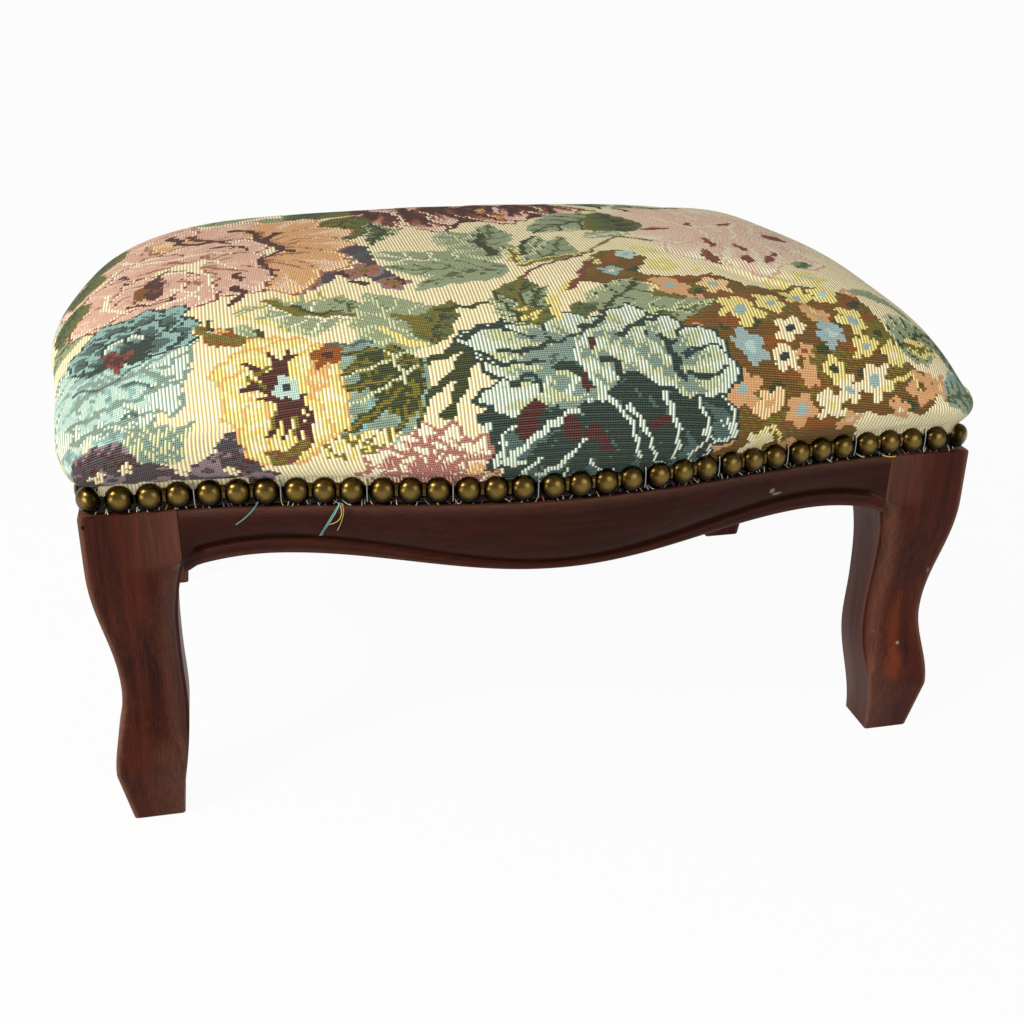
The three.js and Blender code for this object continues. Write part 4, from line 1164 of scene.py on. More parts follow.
def right_rose(paper):
    paper.rose((104, 0), 50, 15, FADED, "pale_pink", ((1.0, 6, 0), (0.8, 6, 30)))
    paper.each(paper.petal, (
        (88, 10, 130, 42, 40), (98, -20, 235, 42, 30), (108, -26, 262, 48, 26), (116, -26, 290, 40, 26),
        (92, -10, 205, 34, 32), (118, 10, 40, 42, 38), (92, 24, 92, 36, 36),
        (122, -10, -10, 34, 34)), FADED, "pink", folds=6)
    paper.each(paper.spot, (
        (74, -6, 8, 2.4, 20), (92, -32, 2, 9, -15), (86, -54, 2.4, 10, 8), (102, -54, 2.4, 6, -10),
        (112, -54, 2.4, 6, -18), (104, -36, 2, 6, 0), (134, -8, 7, 6, 60), (96, 6, 2, 6, -30),
        (118, -44, 2.2, 6, -35), (118, 16, 1.8, 9, -35)), "rosewood", "rosewood", "dusk")
    paper.stems("cream", 0.4, (
        (2.6, 84, 20, 94, 0, 98, -24), (2.6, 124, 24, 116, 2, 108, -20), (2.6, 96, -40, 94, -64),
        (2.6, 108, -38, 107, -66), (2.6, 122, -30, 118, -52), (2.6, 100, 44, 104, 20),
        (2.6, 132, 20, 126, 0)))


def pansy(paper):
    paper.fan(-102, -127, (
        (118, 24, 24), (78, 22, 24), (158, 26, 22), (200, 26, 24), (15, 20, 26), (312, 26, 26),
        (245, 30, 24), (275, 30, 22)), YOLKS, "orange", folds=7)
    paper.field((-92, -114, -84, -116, -86, -130, -94, -134), ("salmon", "orange", "pale_salmon"))
    paper.stems("maroon", 0.75, (
        (6, -103, -122, -101, -112), (3, -104, -118, -97, -113), (3, -104, -118, -108, -111),
        (6, -106, -124, -115, -117), (5.5, -106, -127, -118, -127), (3, -105, -131, -114, -131),
        (5, -104, -132, -112, -144), (4.5, -104, -132, -106, -146), (5, -100, -133, -101, -148),
        (3, -97, -131, -96, -142), (3.4, -97, -142, -98, -150, -106, -153)))
    paper.stems("olive", 0.3, (
        (1.8, -107, -119, -112, -122), (1.8, -110, -126, -115, -123), (1.8, -108, -136, -110, -140),
        (1.8, -102, -138, -102, -145)))
    paper.field((-112, -150, -104, -150, -98, -146, -97, -152, -105, -158,
            -111, -156), ("brown", "olive", "rosewood"))
    paper.blossom((-87, -117), 6, "rust", "maroon", 20)
    paper.blossom((-101, -127), 5.4, "pale_aqua", "deep_teal", 20, 4)
    paper.stem((-86, -113, -78, -114, -70, -112), 1.6, "teal", 0.2)


def leaf_by_pansy(paper):
    paper.field((-94, -124, -88, -116, -76, -112, -62, -114, -52, -124, -50, -136, -54, -148, -66, -153,
            -84, -156, -90, -148, -96, -152, -92, -138), ("mid_teal", "mid_teal", "sage", "aqua"))
    paper.field((-84, -160, -93, -158, -92, -150, -80, -148, -70, -146, -62, -150,
            -76, -156), ("yellow", "olive", "ground", "yellow"))
    paper.field((-74, -116, -62, -114, -53, -124, -52, -138, -58, -146, -66, -142, -72, -132,
            -78, -124), ("dark_green", "dark_green", "olive", "dark_green"))
    for wide, *line in (
            (3.6, -68, -116, -82, -119), (4, -66, -122, -86, -127), (4, -64, -128, -88, -135),
            (4.6, -60, -134, -82, -146, -92, -149), (4, -58, -140, -66, -150), (3.4, -54, -140, -56, -150)):
        paper.stem(line, wide, "dark_green", 0.5)
        paper.stem(line, wide * 0.4, "olive", 0.5)
    paper.stems("pale_sage", 0.2, (
        (1.5, -58, -118, -72, -124, -84, -130), (1.5, -55, -126, -70, -134, -86, -142),
        (1.5, -66, -116, -58, -132)))


def bud(paper):
    paper.spot(-124, -97, 12, 7, -40, "yellow", "ground", "yellow")
    paper.leaf(-112, -106, -134, -88, 11, ("rust", "brown", "olive", "rust"), "olive")
    paper.spot(-127, -95, 3.4, 2, -40, "hatch", "pale_pink")
    paper.spot(-123, -97, 4.6, 2.2, -40, "rust", "orange")
    paper.stem((-128, -94, -127, -86), 2.6, "dark_green", 0.4)
    paper.spot(-115, -99, 4, 5, 20, "sage", "pale_sage")
    paper.stem((-111, -100, -110, -104, -109, -110), 2.6, "dark_green", 0.2)


def hatched_flower(paper):
    paper.fan(-55, -174, (
        (90, 25), (62, 27), (118, 27), (38, 30), (142, 30), (76, 18), (104, 18), (15, 28), (165, 28),
        (50, 17), (130, 17)), 13, ("coral", "hatch", "coral", "hatch", "cream"), "coral", folds=3)
    for turn in (90, 70, 110, 50, 130, 30, 150):
        right, up = 20 * math.cos(math.radians(turn)), 18 * math.sin(math.radians(turn))
        line = (-55 + 0.3 * right, -174 + 0.3 * up, -55 + right, -174 + up)
        paper.stem(line, 1.6, "coral", 0.2)
    paper.spot(-36, -168, 6, 3, -20, "salmon", "pale_salmon")


def olive_bud(paper):
    paper.leaf(-8, -112, -5, -74, 24, DARKS, "olive", 0.05)
    paper.leaf(-10, -110, -16, -84, 12, ("olive", "sage", "pale_sage"), "dark_green", 0.1)
    paper.field((-12, -98, -3, -97, -2, -108, -12, -109), ("olive", "yellow", "olive"))
    paper.leaf(-4, -102, 5, -84, 9, MIDS, "dark_green", 0.1)
    paper.stem((6, -92, 3, -100, 2, -108), 3, "yellow", 0.2)
    paper.stem((14, -78, 8, -92, 5, -104), 2, "yellow", 0.2)


def blossom_bed(paper):
    paper.field((26, -66, 40, -50, 52, -84, 98, -83, 136, -88, 146, -112, 138, -137, 116, -144, 104, -166,
            64, -176, 50, -140, 50, -104, 32, -80), ("brown", "brown", "olive", "brown", "rust"), 0.4)
    paper.each(paper.spot, (
        (40, -58, 14, 12, 60), (62, -84, 28, 9, 0), (88, -100, 46, 16, -12), (106, -116, 38, 18, -10),
        (72, -128, 28, 24, 10), (88, -152, 38, 14, -8), (126, -134, 24, 12, -18), (56, -168, 16, 8, 10),
        (108, -158, 24, 9, -10), (64, -110, 24, 14, 0), (30, -74, 10, 8, 30),
        (151, -134, 12, 10, -10)), "brown", "brown", "olive")
    paper.each(paper.spot, (
        (78, -93, 18, 2.6, -5), (60, -78, 18, 2.6, 10), (52, -113, 14, 2.6, 15), (96, -112, 2.6, 10, 10),
        (108, -98, 12, 2.4, -15), (86, -118, 12, 2.4, 0), (66, -146, 2.6, 10, 60), (98, -134, 16, 2.4, -12),
        (122, -118, 12, 2.2, -20), (134, -104, 10, 3, -30), (104, -152, 14, 2.6, 10), (38, -56, 7, 3, 60),
        (132, -94, 6, 4, 40)), "rust", "rust", "brown")
    paper.each(paper.spot, (
        (66, -90), (112, -122), (118, -127), (94, -126), (60, -119), (88, -138), (120, -108), (134, -96),
        (150, -140), (72, -114), (106, -92), (84, -110), (46, -70), (139, -122),
        (128, -130)), 3, 2.2, 20, "dark_green", "dark_green")
    flowers = (
        (56, -84, 10, "salmon", "pale_blue"), (76, -85, 9, "pale_salmon", "pale_blue"),
        (94, -97, 8.5, "yellow", "pale_blue"), (110, -93, 8.5, "yellow", "pale_blue"),
        (122, -90, 8, "yellow", "pale_aqua"), (62, -96, 6, "salmon", "rust"),
        (79, -103, 11.5, "yellow", "pale_blue"), (112, -104, 8, "salmon", "yellow"),
        (128, -106, 9.5, "yellow", "pale_blue"), (98, -113, 8, "ground", "deep_teal"),
        (60, -118, 8.5, "salmon", "dark_green"), (80, -121, 9.5, "pale_blue", "pale_aqua"),
        (115, -114, 8, "pale_blue", "pale_aqua"), (94, -126, 8, "ground", "deep_teal"),
        (116, -129, 7, "yellow", "dark_green"), (134, -134, 9.5, "ground", "pale_blue"),
        (121, -136, 7, "ground", "pale_blue"), (74, -139, 10, "salmon", "pale_blue"),
        (86, -144, 8, "pale_salmon", "salmon"), (100, -147, 8.5, "salmon", "pale_blue"),
        (112, -142, 7.5, "ground", "yellow"), (156, -132, 9, "salmon", "brown"),
        (166, -131, 7, "salmon", "pale_salmon"), (144, -143, 6, "salmon", "ground"),
        (66, -158, 9, "salmon", "brown"), (86, -162, 9, "ground", "yellow"),
        (104, -166, 8, "salmon", "pale_salmon"), (50, -102, 6, "salmon", "rust"),
        (36, -70, 6, "pale_blue", "ground"), (30, -58, 5, "yellow", "salmon"),
        (46, -52, 7, "pale_aqua", "pale_blue"), (58, -64, 9, "yellow", "ground"),
        (58, -46, 8, "yellow", "ground"), (72, -70, 8, "ground", "yellow"),
        (120, -76, 9, "yellow", "pale_aqua"), (104, -80, 7, "yellow", "ground"),
        (146, -108, 6, "ground", "ground"), (134, -86, 5, "salmon", "ground"),
        (56, -132, 6, "salmon", "yellow"), (122, -150, 6, "salmon", "pale_pink"),
        (138, -113, 9, "olive", "dark_green"), (129, -119, 7, "yellow", "pale_blue"),
        (142, -122, 7, "yellow", "ground"), (104, -124, 5, "salmon", "rust"),
        (74, -110, 5, "rust", "brown"), (103, -133, 6, "salmon", "salmon"),
        (46, -86, 5, "ground", "salmon"))
    for i, (*place, radius, petals, eye) in enumerate(flowers):
        paper.blossom(place, 0.84 * radius, petals, eye, 23 * i)
    paper.stems("yellow", 0.2, (
        (1.6, 84, -158, 92, -154, 98, -162), (1.6, 92, -154, 90, -166),
        (1.6, 136, -138, 150, -128, 156, -134)))


def leaves(paper):
    paper.each(paper.leaf, (
        (-12, -56, -60, -34, 30, SAGES, "cream", 0.06), (-8, -52, -26, 4, 30, SAGES, "pale_sage", -0.05),
        (-10, -40, 2, 14, 20, SAGES, "green", 0.02), (0, -58, 16, -12, 15, MIDS, "pale_sage", -0.06),
        (2, -60, 26, -16, 18, SAGES, "green", -0.12), (-6, -60, -58, -54, 22, SAGES, "green", 0.08),
        (-1, -58, -2, -28, 9, ("olive", "yellow", "ground"), "olive", 0),
        (62, 26, 16, -8, 34, ("green", "sage", "sage", "pale_sage"), "dark_green", -0.04),
        (56, -16, 58, 34, 26, DARKS, "green", 0.0), (60, -14, 34, -20, 14, SAGES, "cream", -0.1),
        (-8, -64, -48, -80, 16, MIDS, "sage", -0.06), (-46, -118, -68, -80, 32, SAGES, "pale_sage", 0.08),
        (-46, -118, -36, -92, 16, DARKS, "olive", 0.1),
        (-74, -96, -118, -84, 34, ("pale_sage", "yellow", "ground", "yellow"), "sage", -0.1),
        (-74, -98, -106, -82, 24, SAGES, "cream", 0.06), (-74, -96, -84, -80, 12, MIDS, "sage", 0),
        (-86, 66, -98, 26, 34, SAGES, "green", 0.0), (-68, 76, -90, 44, 34, DARKS, "green", 0.1),
        (-60, 44, -64, -6, 26, ("olive", "olive", "green"), "dark_green", -0.08),
        (-52, 26, -58, -20, 14, ("dark_green", "green", "pale_sage"), "dark_green", 0.1),
        (22, -104, 44, -80, 24, SAGES, "dark_green", 0.0), (24, -112, 70, -98, 18, MIDS, "pale_sage", 0.05),
        (10, -104, 24, -96, 8, DARKS, "green", 0.05), (146, -118, 174, -98, 24, SAGES, "dark_green", 0.0),
        (150, -116, 172, -112, 8, ("olive", "yellow", "yellow"), "olive", 0.0),
        (172, -102, 192, -124, 18, MIDS, "sage", 0.1),
        (168, -138, 200, -126, 18, ("teal", "sage", "aqua"), "green", 0.1),
        (134, -84, 164, -96, 10, SAGES, "sage", 0.1), (122, -66, 130, -52, 8, MIDS, "green", 0.0),
        (-186, 30, -190, 66, 22, DARKS, "green", 0.0),
        (-170, 50, -168, 90, 26, ("olive", "olive", "yellow"), "green", 0.0),
        (-186, -14, -192, -44, 16, MIDS, "dark_green", 0.0), (-180, -30, -204, -62, 22, MIDS, "sage", 0.1),
        (-196, 6, -200, 66, 26, DARKS, "green", 0.05), (-182, 64, -172, 116, 34, DARKS, "olive", 0.0),
        (-128, 66, -96, 112, 36, SAGES, "green", 0.05), (-150, 84, -126, 118, 26, DARKS, "green", 0.1),
        (-90, 84, -66, 112, 24, DARKS, "olive", 0.1), (92, 46, 84, 78, 24, MIDS, "sage", 0.1),
        (100, 54, 106, 84, 22, SAGES, "dark_green", 0.1), (46, 78, 30, 100, 26, MIDS, "sage", 0.1),
        (60, 52, 72, 86, 22, MIDS, "dark_green", 0.1)))
    for wide, name, *line in (
            (5, "dark_green", -10, -44, -10, -24, -8, -6), (3, "dark_green", 2, -46, 8, -28, 14, -14),
            (3, "olive", 0, -62, 20, -52, 38, -38, 50, -20), (1.5, "yellow", 0, -60, 24, -48, 40, -36),
            (2, "rosewood", -6, -74, 14, -60, 34, -44), (3, "brown", 20, -78, 28, -60, 38, -46),
            (3, "rosewood", 12, -86, 22, -72, 30, -58), (3, "olive", 50, -20, 64, -30),
            (2.2, "dark_green", -44, -98, -30, -96, -18, -91),
            (3.6, "dark_green", -34, -116, -40, -122, -52, -126),
            (5, "dark_green", -34, -122, -42, -132, -52, -141),
            (4, "dark_green", -38, -132, -42, -144, -46, -148), (4, "olive", 42, 60, 50, 44, 56, 36),
            (4, "dark_green", 62, 58, 70, 44, 74, 34), (3.4, "olive", -58, -97, -50, -102, -45, -112),
            (4, "olive", -106, -79, -92, -90, -74, -96), (2, "dark_green", -96, -84, -86, -92, -78, -92),
            (4, "yellow", -62, -106, -56, -114, -50, -118)):
        paper.stem(line, wide, name, 0.3)


BACK_BLOSSOMS = (
    (-30, 118), (-8, 128), (-44, 134), (-20, 146), (6, 144), (140, 120), (160, 104), (152, 136),
    (176, 84), (184, 60), (-170, 134), (-186, 110), (190, 40), (210, 50))


def unseen_sides(paper):
    """The back and the ends go on with the same kinds of flower"""
    paper.rose((-110, 120), 44, 30, PINKS, "maroon")
    paper.rose((60, 130), 46, 10, TEALS, "maroon")
    paper.rose((-206, 10), 30, 0, ICES, "deep_teal")
    paper.rose((200, -20), 36, 40, FADED, "rosewood")
    paper.each(paper.spot, BACK_BLOSSOMS, 13, 11, 30, "brown", "olive")
    for i, place in enumerate(BACK_BLOSSOMS):
        paper.blossom(place, 9, ("yellow", "salmon", "pale_blue")[i % 3], "aqua", 31 * i)
    paper.each(paper.leaf, (
        (-66, 110, -40, 92, 20, SAGES), (10, 110, -10, 92, 20, MIDS), (112, 108, 130, 84, 24, DARKS),
        (-150, 100, -176, 86, 22, SAGES), (-60, 150, -80, 170, 22, DARKS), (110, 150, 130, 172, 24, SAGES),
        (-30, 158, -10, 176, 18, MIDS), (-216, -20, -226, 10, 18, MIDS), (190, 10, 214, 22, 20, DARKS),
        (170, 0, 176, 30, 22, SAGES), (176, -56, 204, -70, 24, MIDS),
        (-200, 50, -224, 70, 20, SAGES)), "pale_sage")


MOTIFS = (unseen_sides, blossom_bed, right_rose, back_rose, leaves, small_blossoms, pink_rose,
          teal_rose, slate_sprigs, hatched_flower, leaf_by_pansy, front_rose, olive_bud, bud, pansy)


def point_paper(u, v):
    """Effects of the cells at these places, with all motifs painted"""
    paper = PointPaper(u, v)
    for motif in MOTIFS:
        motif(paper)
    return paper.effect


def cover_mesh(seat, rail):
    """Points and quads of the woven cover, the effect of each quad and each point's rib and row"""
    ribs, rows, points, inside = cover_grid(seat, rail)
    count = len(rows)
    touching = inside[:-1, :-1] | inside[1:, :-1] | inside[1:, 1:] | inside[:-1, 1:]
    i, j = np.nonzero(touching)
    quads = np.stack([i * count + j, (i + 1) * count + j, (i + 1) * count + j + 1, i * count + j + 1], -1)
    flat = points.reshape(-1, 3)
    diagonals = flat[quads[:, 2]] - flat[quads[:, 0]], flat[quads[:, 3]] - flat[quads[:, 1]]
    across = np.linalg.norm(np.cross(*diagonals), axis=-1)
    kept = across > (LEAST_CELL * seat.rib) ** 2
    quads, i, j = quads[kept], i[kept], j[kept]
    used, renumbered = np.unique(quads, return_inverse=True)
    quads = renumbered.reshape(-1, 4)
    effect = point_paper((ribs[i] + 0.5) * seat.rib / MM, (rows[j] + 0.5) * seat.weft / MM)
    # Painted shade with dirt: the cloth below the nails' middle takes the dark hem effect, under and
    # between the heads
    shaded_hem = flat[used][quads][..., 2].mean(-1) < nail_height(seat) + seat.shaded_hem_rise
    effect[shaded_hem] = EFFECT_NAMES.index("hem")
    threads = np.stack([np.repeat(ribs, count), np.tile(rows, len(ribs))], -1)[used]
    return flat[used], quads, effect, threads


# Nail strips

FRONT_STRIPS = (1, 2, 3, 3, 3, 3, 4, 3, 3, 3, 3, 1)
SIDES = (("front", FRONT_STRIPS), ("right", (1,) * 5), ("back", (1,) * 8), ("left", (1,) * 5))


def nail_line(seat, rail, per_side=400):
    """Line of the nails on the cloth, as points and the length along it at each, side by side"""
    level = (nail_height(seat) - HEM) / (seat.wall_base - HEM)
    p, q = square_columns(per_side, per_side)
    line = seat_surface(p, q, float(level), seat, rail)
    closed = np.r_[line, line[:1]]
    places = np.r_[0, np.cumsum(np.linalg.norm(np.diff(closed, axis=0), axis=1))]
    return closed, places, places[::per_side]


def split_heads(heads, counts):
    """Heads shared out in strips, in the proportions of the counts"""
    edges = np.round(np.cumsum((0,) + tuple(counts)) / sum(counts) * len(heads)).astype(int)
    return [heads[a:b] for a, b in zip(edges[:-1], edges[1:])]


HEAD_SIDES = 28
HEAD_RINGS = 9
# Heights of a head's buried edge and of its rim, as shares of its dome
HEAD_FOOT, HEAD_RIM = -0.06, 0.05
DOME_POWER = 2.3
# Spread of the slopes at which the heads are pressed
HEAD_TILT = 0.025


def head_mesh(nails, tilt):
    """One pressed head, its rim on the cloth, standing along +Z; returns points, faces and how much hands
    have rubbed each point, most on the crown; painted light adds to this on the upper half of the head and
    takes from it on the lower half"""
    points, crown = [], []
    shares = np.sin(np.linspace(math.pi / 2, 0, HEAD_RINGS))
    rings = [(1.0, HEAD_FOOT), (1.0, HEAD_RIM)]
    rings += [(s, HEAD_RIM + 0.95 * (1 - s ** DOME_POWER) ** 0.5) for s in shares[1:-1]]
    for share, lift in rings:
        for a in np.linspace(0, 2 * math.pi, HEAD_SIDES, endpoint=False):
            x, y = nails.radius * share * math.cos(a), nails.radius * share * math.sin(a)
            points.append((x, y, nails.height * lift + (tilt[0] * x + tilt[1] * y)))
            # Painted light: the upper half of each head gets more of the rubbed colour and the lower half
            # less
            crown.append(1 - share + 0.4 * share * math.sin(a))
    faces = loft_faces(len(rings), HEAD_SIDES, capped=False)
    points.append((0, 0, nails.height))
    crown.append(1)
    last, top = (len(rings) - 1) * HEAD_SIDES, len(points) - 1
    faces.extend((last + j, last + (j + 1) % HEAD_SIDES, top) for j in range(HEAD_SIDES))
    faces.append(tuple(reversed(range(HEAD_SIDES))))
    return np.array(points), faces, crown


def seated(place, line, places, nails):
    """Matrix that seats a head on the line: X along it, Z out of the cloth"""
    def point(at):
        at = at % places[-1]
        return np.array([np.interp(at, places, line[:, axis]) for axis in range(3)])
    along = point(place + nails.radius) - point(place - nails.radius)
    along /= np.linalg.norm(along)
    out = np.cross(along, (0, 0, 1))
    matrix = np.eye(4)
    matrix[:3, :3] = np.stack([along, (0, 0, 1), out], -1)
    chord = 0.5 * (point(place + nails.radius) + point(place - nails.radius))
    middle = point(place)
    base = middle if (middle - chord) @ out > 0 else chord
    matrix[:3, 3] = base + out * nails.clearance
    return matrix


WEB_SECTION = 7
# How rubbed a neck is, and the value that stands for bare steel
WEB_RUB, BARE = 0.5, 2.0
# Bare cut end of a strip: its thickness, and its outline in shares of a head's width and height
TAB_ENDS = (0.2 * MM, 0.55 * MM)
TAB_OUTLINE = ((-0.45, 0), (0.45, 0), (0.42, 0.3), (0.2, 0.45), (-0.2, 0.45), (-0.42, 0.3))


def web_mesh(start, end, nails):
    """Low neck between two places, each given by its matrix"""
    points = []
    for matrix in (start, end):
        for a in np.linspace(0, math.pi, WEB_SECTION):
            local = (0, 0.5 * nails.web_width * math.cos(a), nails.web_height * math.sin(a), 1)
            points.append((matrix @ local)[:3])
    return np.array(points), loft_faces(2, WEB_SECTION), [WEB_RUB] * len(points)


def strip_mesh(heads, line, places, nails, draw):
    """Points, faces and rubbing, with painted light on the heads' upper halves, of one strip, its heads
    given by their places along the line
    """
    points, faces, crown = [], [], []

    def add(new_points, new_faces, new_crown):
        start = len(points)
        points.extend(new_points)
        faces.extend(tuple(start + v for v in face) for face in new_faces)
        crown.extend(new_crown)

    seats = [seated(at, line, places, nails) for at in heads]
    for matrix in seats:
        head_points, head_faces, head_crown = head_mesh(nails, draw.normal(0, HEAD_TILT, 2))
        solid = np.c_[head_points, np.ones(len(head_points))] @ matrix.T
        add(solid[:, :3], head_faces, head_crown)
    for start, end in zip(seats[:-1], seats[1:]):
        add(*web_mesh(start, end, nails))
    if len(heads) > 1:
        tab = np.array([(x, y, z, 1) for x in TAB_ENDS for y, z in TAB_OUTLINE])
        tab[:, 0] += nails.radius
        tab[:, 1] *= 2 * nails.radius
        tab[:, 2] *= nails.height
        add((tab @ seats[-1].T)[:, :3], loft_faces(2, len(TAB_OUTLINE)), [BARE] * len(tab))
    return np.array(points), faces, crown


# Loose threads: places in millimetres from the nails down over the wood, and the strands' colours
TUFTS = (
    (((-114.8, -126.9, 143.7), (-118, -125.7, 139.3), (-123.6, -123.7, 134)), ("#4F8C8C", "#3A6A70")),
    (((-85.1, -131.7, 143.3), (-87.2, -130.4, 138.8), (-92.5, -128.3, 129.1)),
     ("#58989C", "#7FB4B2", "#3F767C")),
    (((-84.6, -131.7, 143), (-84.2, -131, 137.9), (-86.3, -129.6, 131.2)), ("#B03A2C", "#8A8A5A")),
    (((-85, -131.7, 142.6), (-85.4, -130.8, 136.4), (-89.4, -129.2, 133.4)), ("#B8A24A",)),
    (((138, -125, 142.4), (141, -124.4, 141.4), (144, -124.6, 142)), ("#C8B444",)),
)
TUFT_RADIUS = 0.24 * MM
# Short ends below the nails: their pitch, the share of them that still hangs on, and their thinnest
# and thickest radius in millimetres
THREAD_PITCH = 2.1 * MM
THREAD_SHARE = 0.8
THREAD_RADII = (0.14, 0.26)
THREAD_COLOURS = ("#D8D2B8", "#E8E2CC", "#8FB4B0", "#9A4A44", "#C8B060", "#4A3A34", "#54707A")


def thread_mesh(bends, radius, sides=5, steps=7):
    """Tube along a curve through three points, thin at its end"""
    t = np.linspace(0, 1, steps)[:, None]
    a, b, c = (np.asarray(point, float) for point in bends)
    middle = a * (1 - t) * (1 - 2 * t) + b * 4 * t * (1 - t) + c * t * (2 * t - 1)
    along = np.gradient(middle, axis=0)
    side = np.cross(along, (0, 1, 0.1))
    side /= np.linalg.norm(side, axis=-1, keepdims=True)
    up = np.cross(side, along)
    up /= np.linalg.norm(up, axis=-1, keepdims=True)
    angle = np.linspace(0, 2 * np.pi, sides, endpoint=False)[None, :, None]
    outward = side[:, None] * np.cos(angle) + up[:, None] * np.sin(angle)
    ring = middle[:, None] + radius * (1 - 0.4 * t[:, None]) * outward
    return ring.reshape(-1, 3), loft_faces(steps, sides)


def frayed_edge(seat, rail, nails):
    """Points, faces and dyes of the threads that hang out below the nails"""
    line, places, _ = nail_line(seat, rail)
    draw = np.random.default_rng(11)
    threads = []
    for bends, dyes in TUFTS:
        for dye in dyes:
            apart = draw.normal(0, 0.25 * MM, (3, 3)) * np.array([1, 0.3, 1])
            threads.append((np.array(bends) * MM + apart, TUFT_RADIUS, dye))
    for at in np.arange(0, places[-1], THREAD_PITCH):
        if draw.random() < THREAD_SHARE:
            start = at + draw.normal(0, 0.8 * MM)
            matrix = seated(start, line, places, nails)
            long = draw.uniform(1, 3.4) * MM
            drop = draw.uniform(0.2, 1.4) * MM
            slant = draw.normal(0, 1.2) * MM
            local = np.array([(0, -3.8 * MM, 0.1 * MM, 1),
                              (0.5 * slant, -4.4 * MM - 0.3 * drop, 0.5 * MM + 0.4 * long, 1),
                              (slant, -4.4 * MM - 0.7 * drop, 0.7 * MM + 0.6 * long, 1)])
            dye = THREAD_COLOURS[int(draw.integers(len(THREAD_COLOURS)))]
            threads.append(((local @ matrix.T)[:, :3], draw.uniform(*THREAD_RADII) * MM, dye))
    points, faces, dyes = [], [], []
    for bends, radius, dye in threads:
        new_points, new_faces = thread_mesh(bends, radius)
        faces.extend(tuple(len(points) + v for v in face) for face in new_faces)
        points.extend(new_points)
        dyes.extend([linear(dye)] * len(new_points))
    return np.array(points), faces, dyes


# Operators

# Shifts that give each leg its own piece of the grain, and each rail; and the share of painted shade on the
# rails
LEG_GRAIN = np.array([0.31, 0.17, 0.23])
RAIL_GRAIN = 0.4
RAIL_SHADE = 0.55


class FootstoolOperator:
    bl_options = {"REGISTER", "UNDO"}


class FOOTSTOOL_OT_legs(FootstoolOperator, bpy.types.Operator):
    """Four cabriole legs with rounded edges, in place of the sawn solids"""
    bl_idname = "footstool.legs"
    bl_label = "Legs"

    def execute(self, context):
        leg = context.scene.footstool_legs
        points, faces, wear_and_highlight = leg_mesh(leg)
        material = shared_material("mahogany", mahogany_material, context)
        for number, (corner, (sign_x, sign_y)) in enumerate(CORNERS.items()):
            placed, turned = mirrored(points - np.array([HALF_WIDTH, HALF_DEPTH, 0]), faces,
                                      -sign_x, -sign_y)
            grain = points + LEG_GRAIN * number
            piece(f"leg_{corner}_sawn", placed, turned, material, [f"leg_{corner}"],
                  {"grain": ("FLOAT_VECTOR", "POINT", grain), "arris": ("FLOAT", "POINT", wear_and_highlight)})
        return {"FINISHED"}


class FOOTSTOOL_OT_rails(FootstoolOperator, bpy.types.Operator):
    """Four moulded serpentine rails"""
    bl_idname = "footstool.rails"
    bl_label = "Rails"

    def execute(self, context):
        rail = context.scene.footstool_rails
        material = shared_material("mahogany", mahogany_material, context)
        long_span, short_span = HALF_WIDTH - LEG_BLOCK, HALF_DEPTH - LEG_BLOCK
        rows = (("front", long_span, rail.long_swell, (0, -HALF_DEPTH), 0),
                ("back", long_span, rail.long_swell, (0, HALF_DEPTH), 180),
                ("left", short_span, rail.short_swell, (-HALF_WIDTH, 0), -90),
                ("right", short_span, rail.short_swell, (HALF_WIDTH, 0), 90))
        for number, (side, span, swelling, place, turn) in enumerate(rows):
            points, faces, wear_and_highlight = rail_mesh(span, swelling, rail, TOP)
            grain = points[:, [1, 2, 0]] + RAIL_GRAIN * (number + 1)
            spin = np.array(Matrix.Rotation(math.radians(turn), 3, "Z"))
            placed = points @ spin.T + np.array([*place, 0])
            piece(f"rail_{side}_moulded", placed, faces, material, [f"rail_{side}"],
                  {"grain": ("FLOAT_VECTOR", "POINT", grain), "arris": ("FLOAT", "POINT", wear_and_highlight),
                   # Painted shade all over the rails
                   "deep": ("FLOAT", "POINT", np.full(len(points), RAIL_SHADE))})
        return {"FINISHED"}


class FOOTSTOOL_OT_inner_frame(FootstoolOperator, bpy.types.Operator):
    """Finishes of the seat board, the corner blocks and their screws"""
    bl_idname = "footstool.inner_frame"
    bl_label = "Inner frame"

    def execute(self, context):
        finish = context.scene.footstool_finishes
        beech = plain_wood_material("beech_sawn", finish.beech_dark, finish.beech, (0.9, 0.05, 0.9))
        plywood = plain_wood_material("birch_plywood", finish.plywood_dark, finish.plywood,
                                      (0.03, 0.5, 1.2))
        steel = steel_material(finish)
        finishes = {"corner_block": beech, "seat_board": plywood, "leg_screw": steel,
                    "board_screw": steel}
        for name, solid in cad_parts.items():
            for start, material in finishes.items():
                if name.startswith(start):
                    solid.data.materials.clear()
                    solid.data.materials.append(material)
        return {"FINISHED"}


# The pad keeps every eighth column of the cover's rings, with every fourth ring of the wall and
# every sixth of the dome, and stays a little inside the cover and above the board
PAD_RINGS = np.r_[7:31:4, 31:103:6]
PAD_COLUMNS = 8
PAD_SCALE = np.array([0.985, 0.98, 1])
PAD_GAP = 0.3 * MM


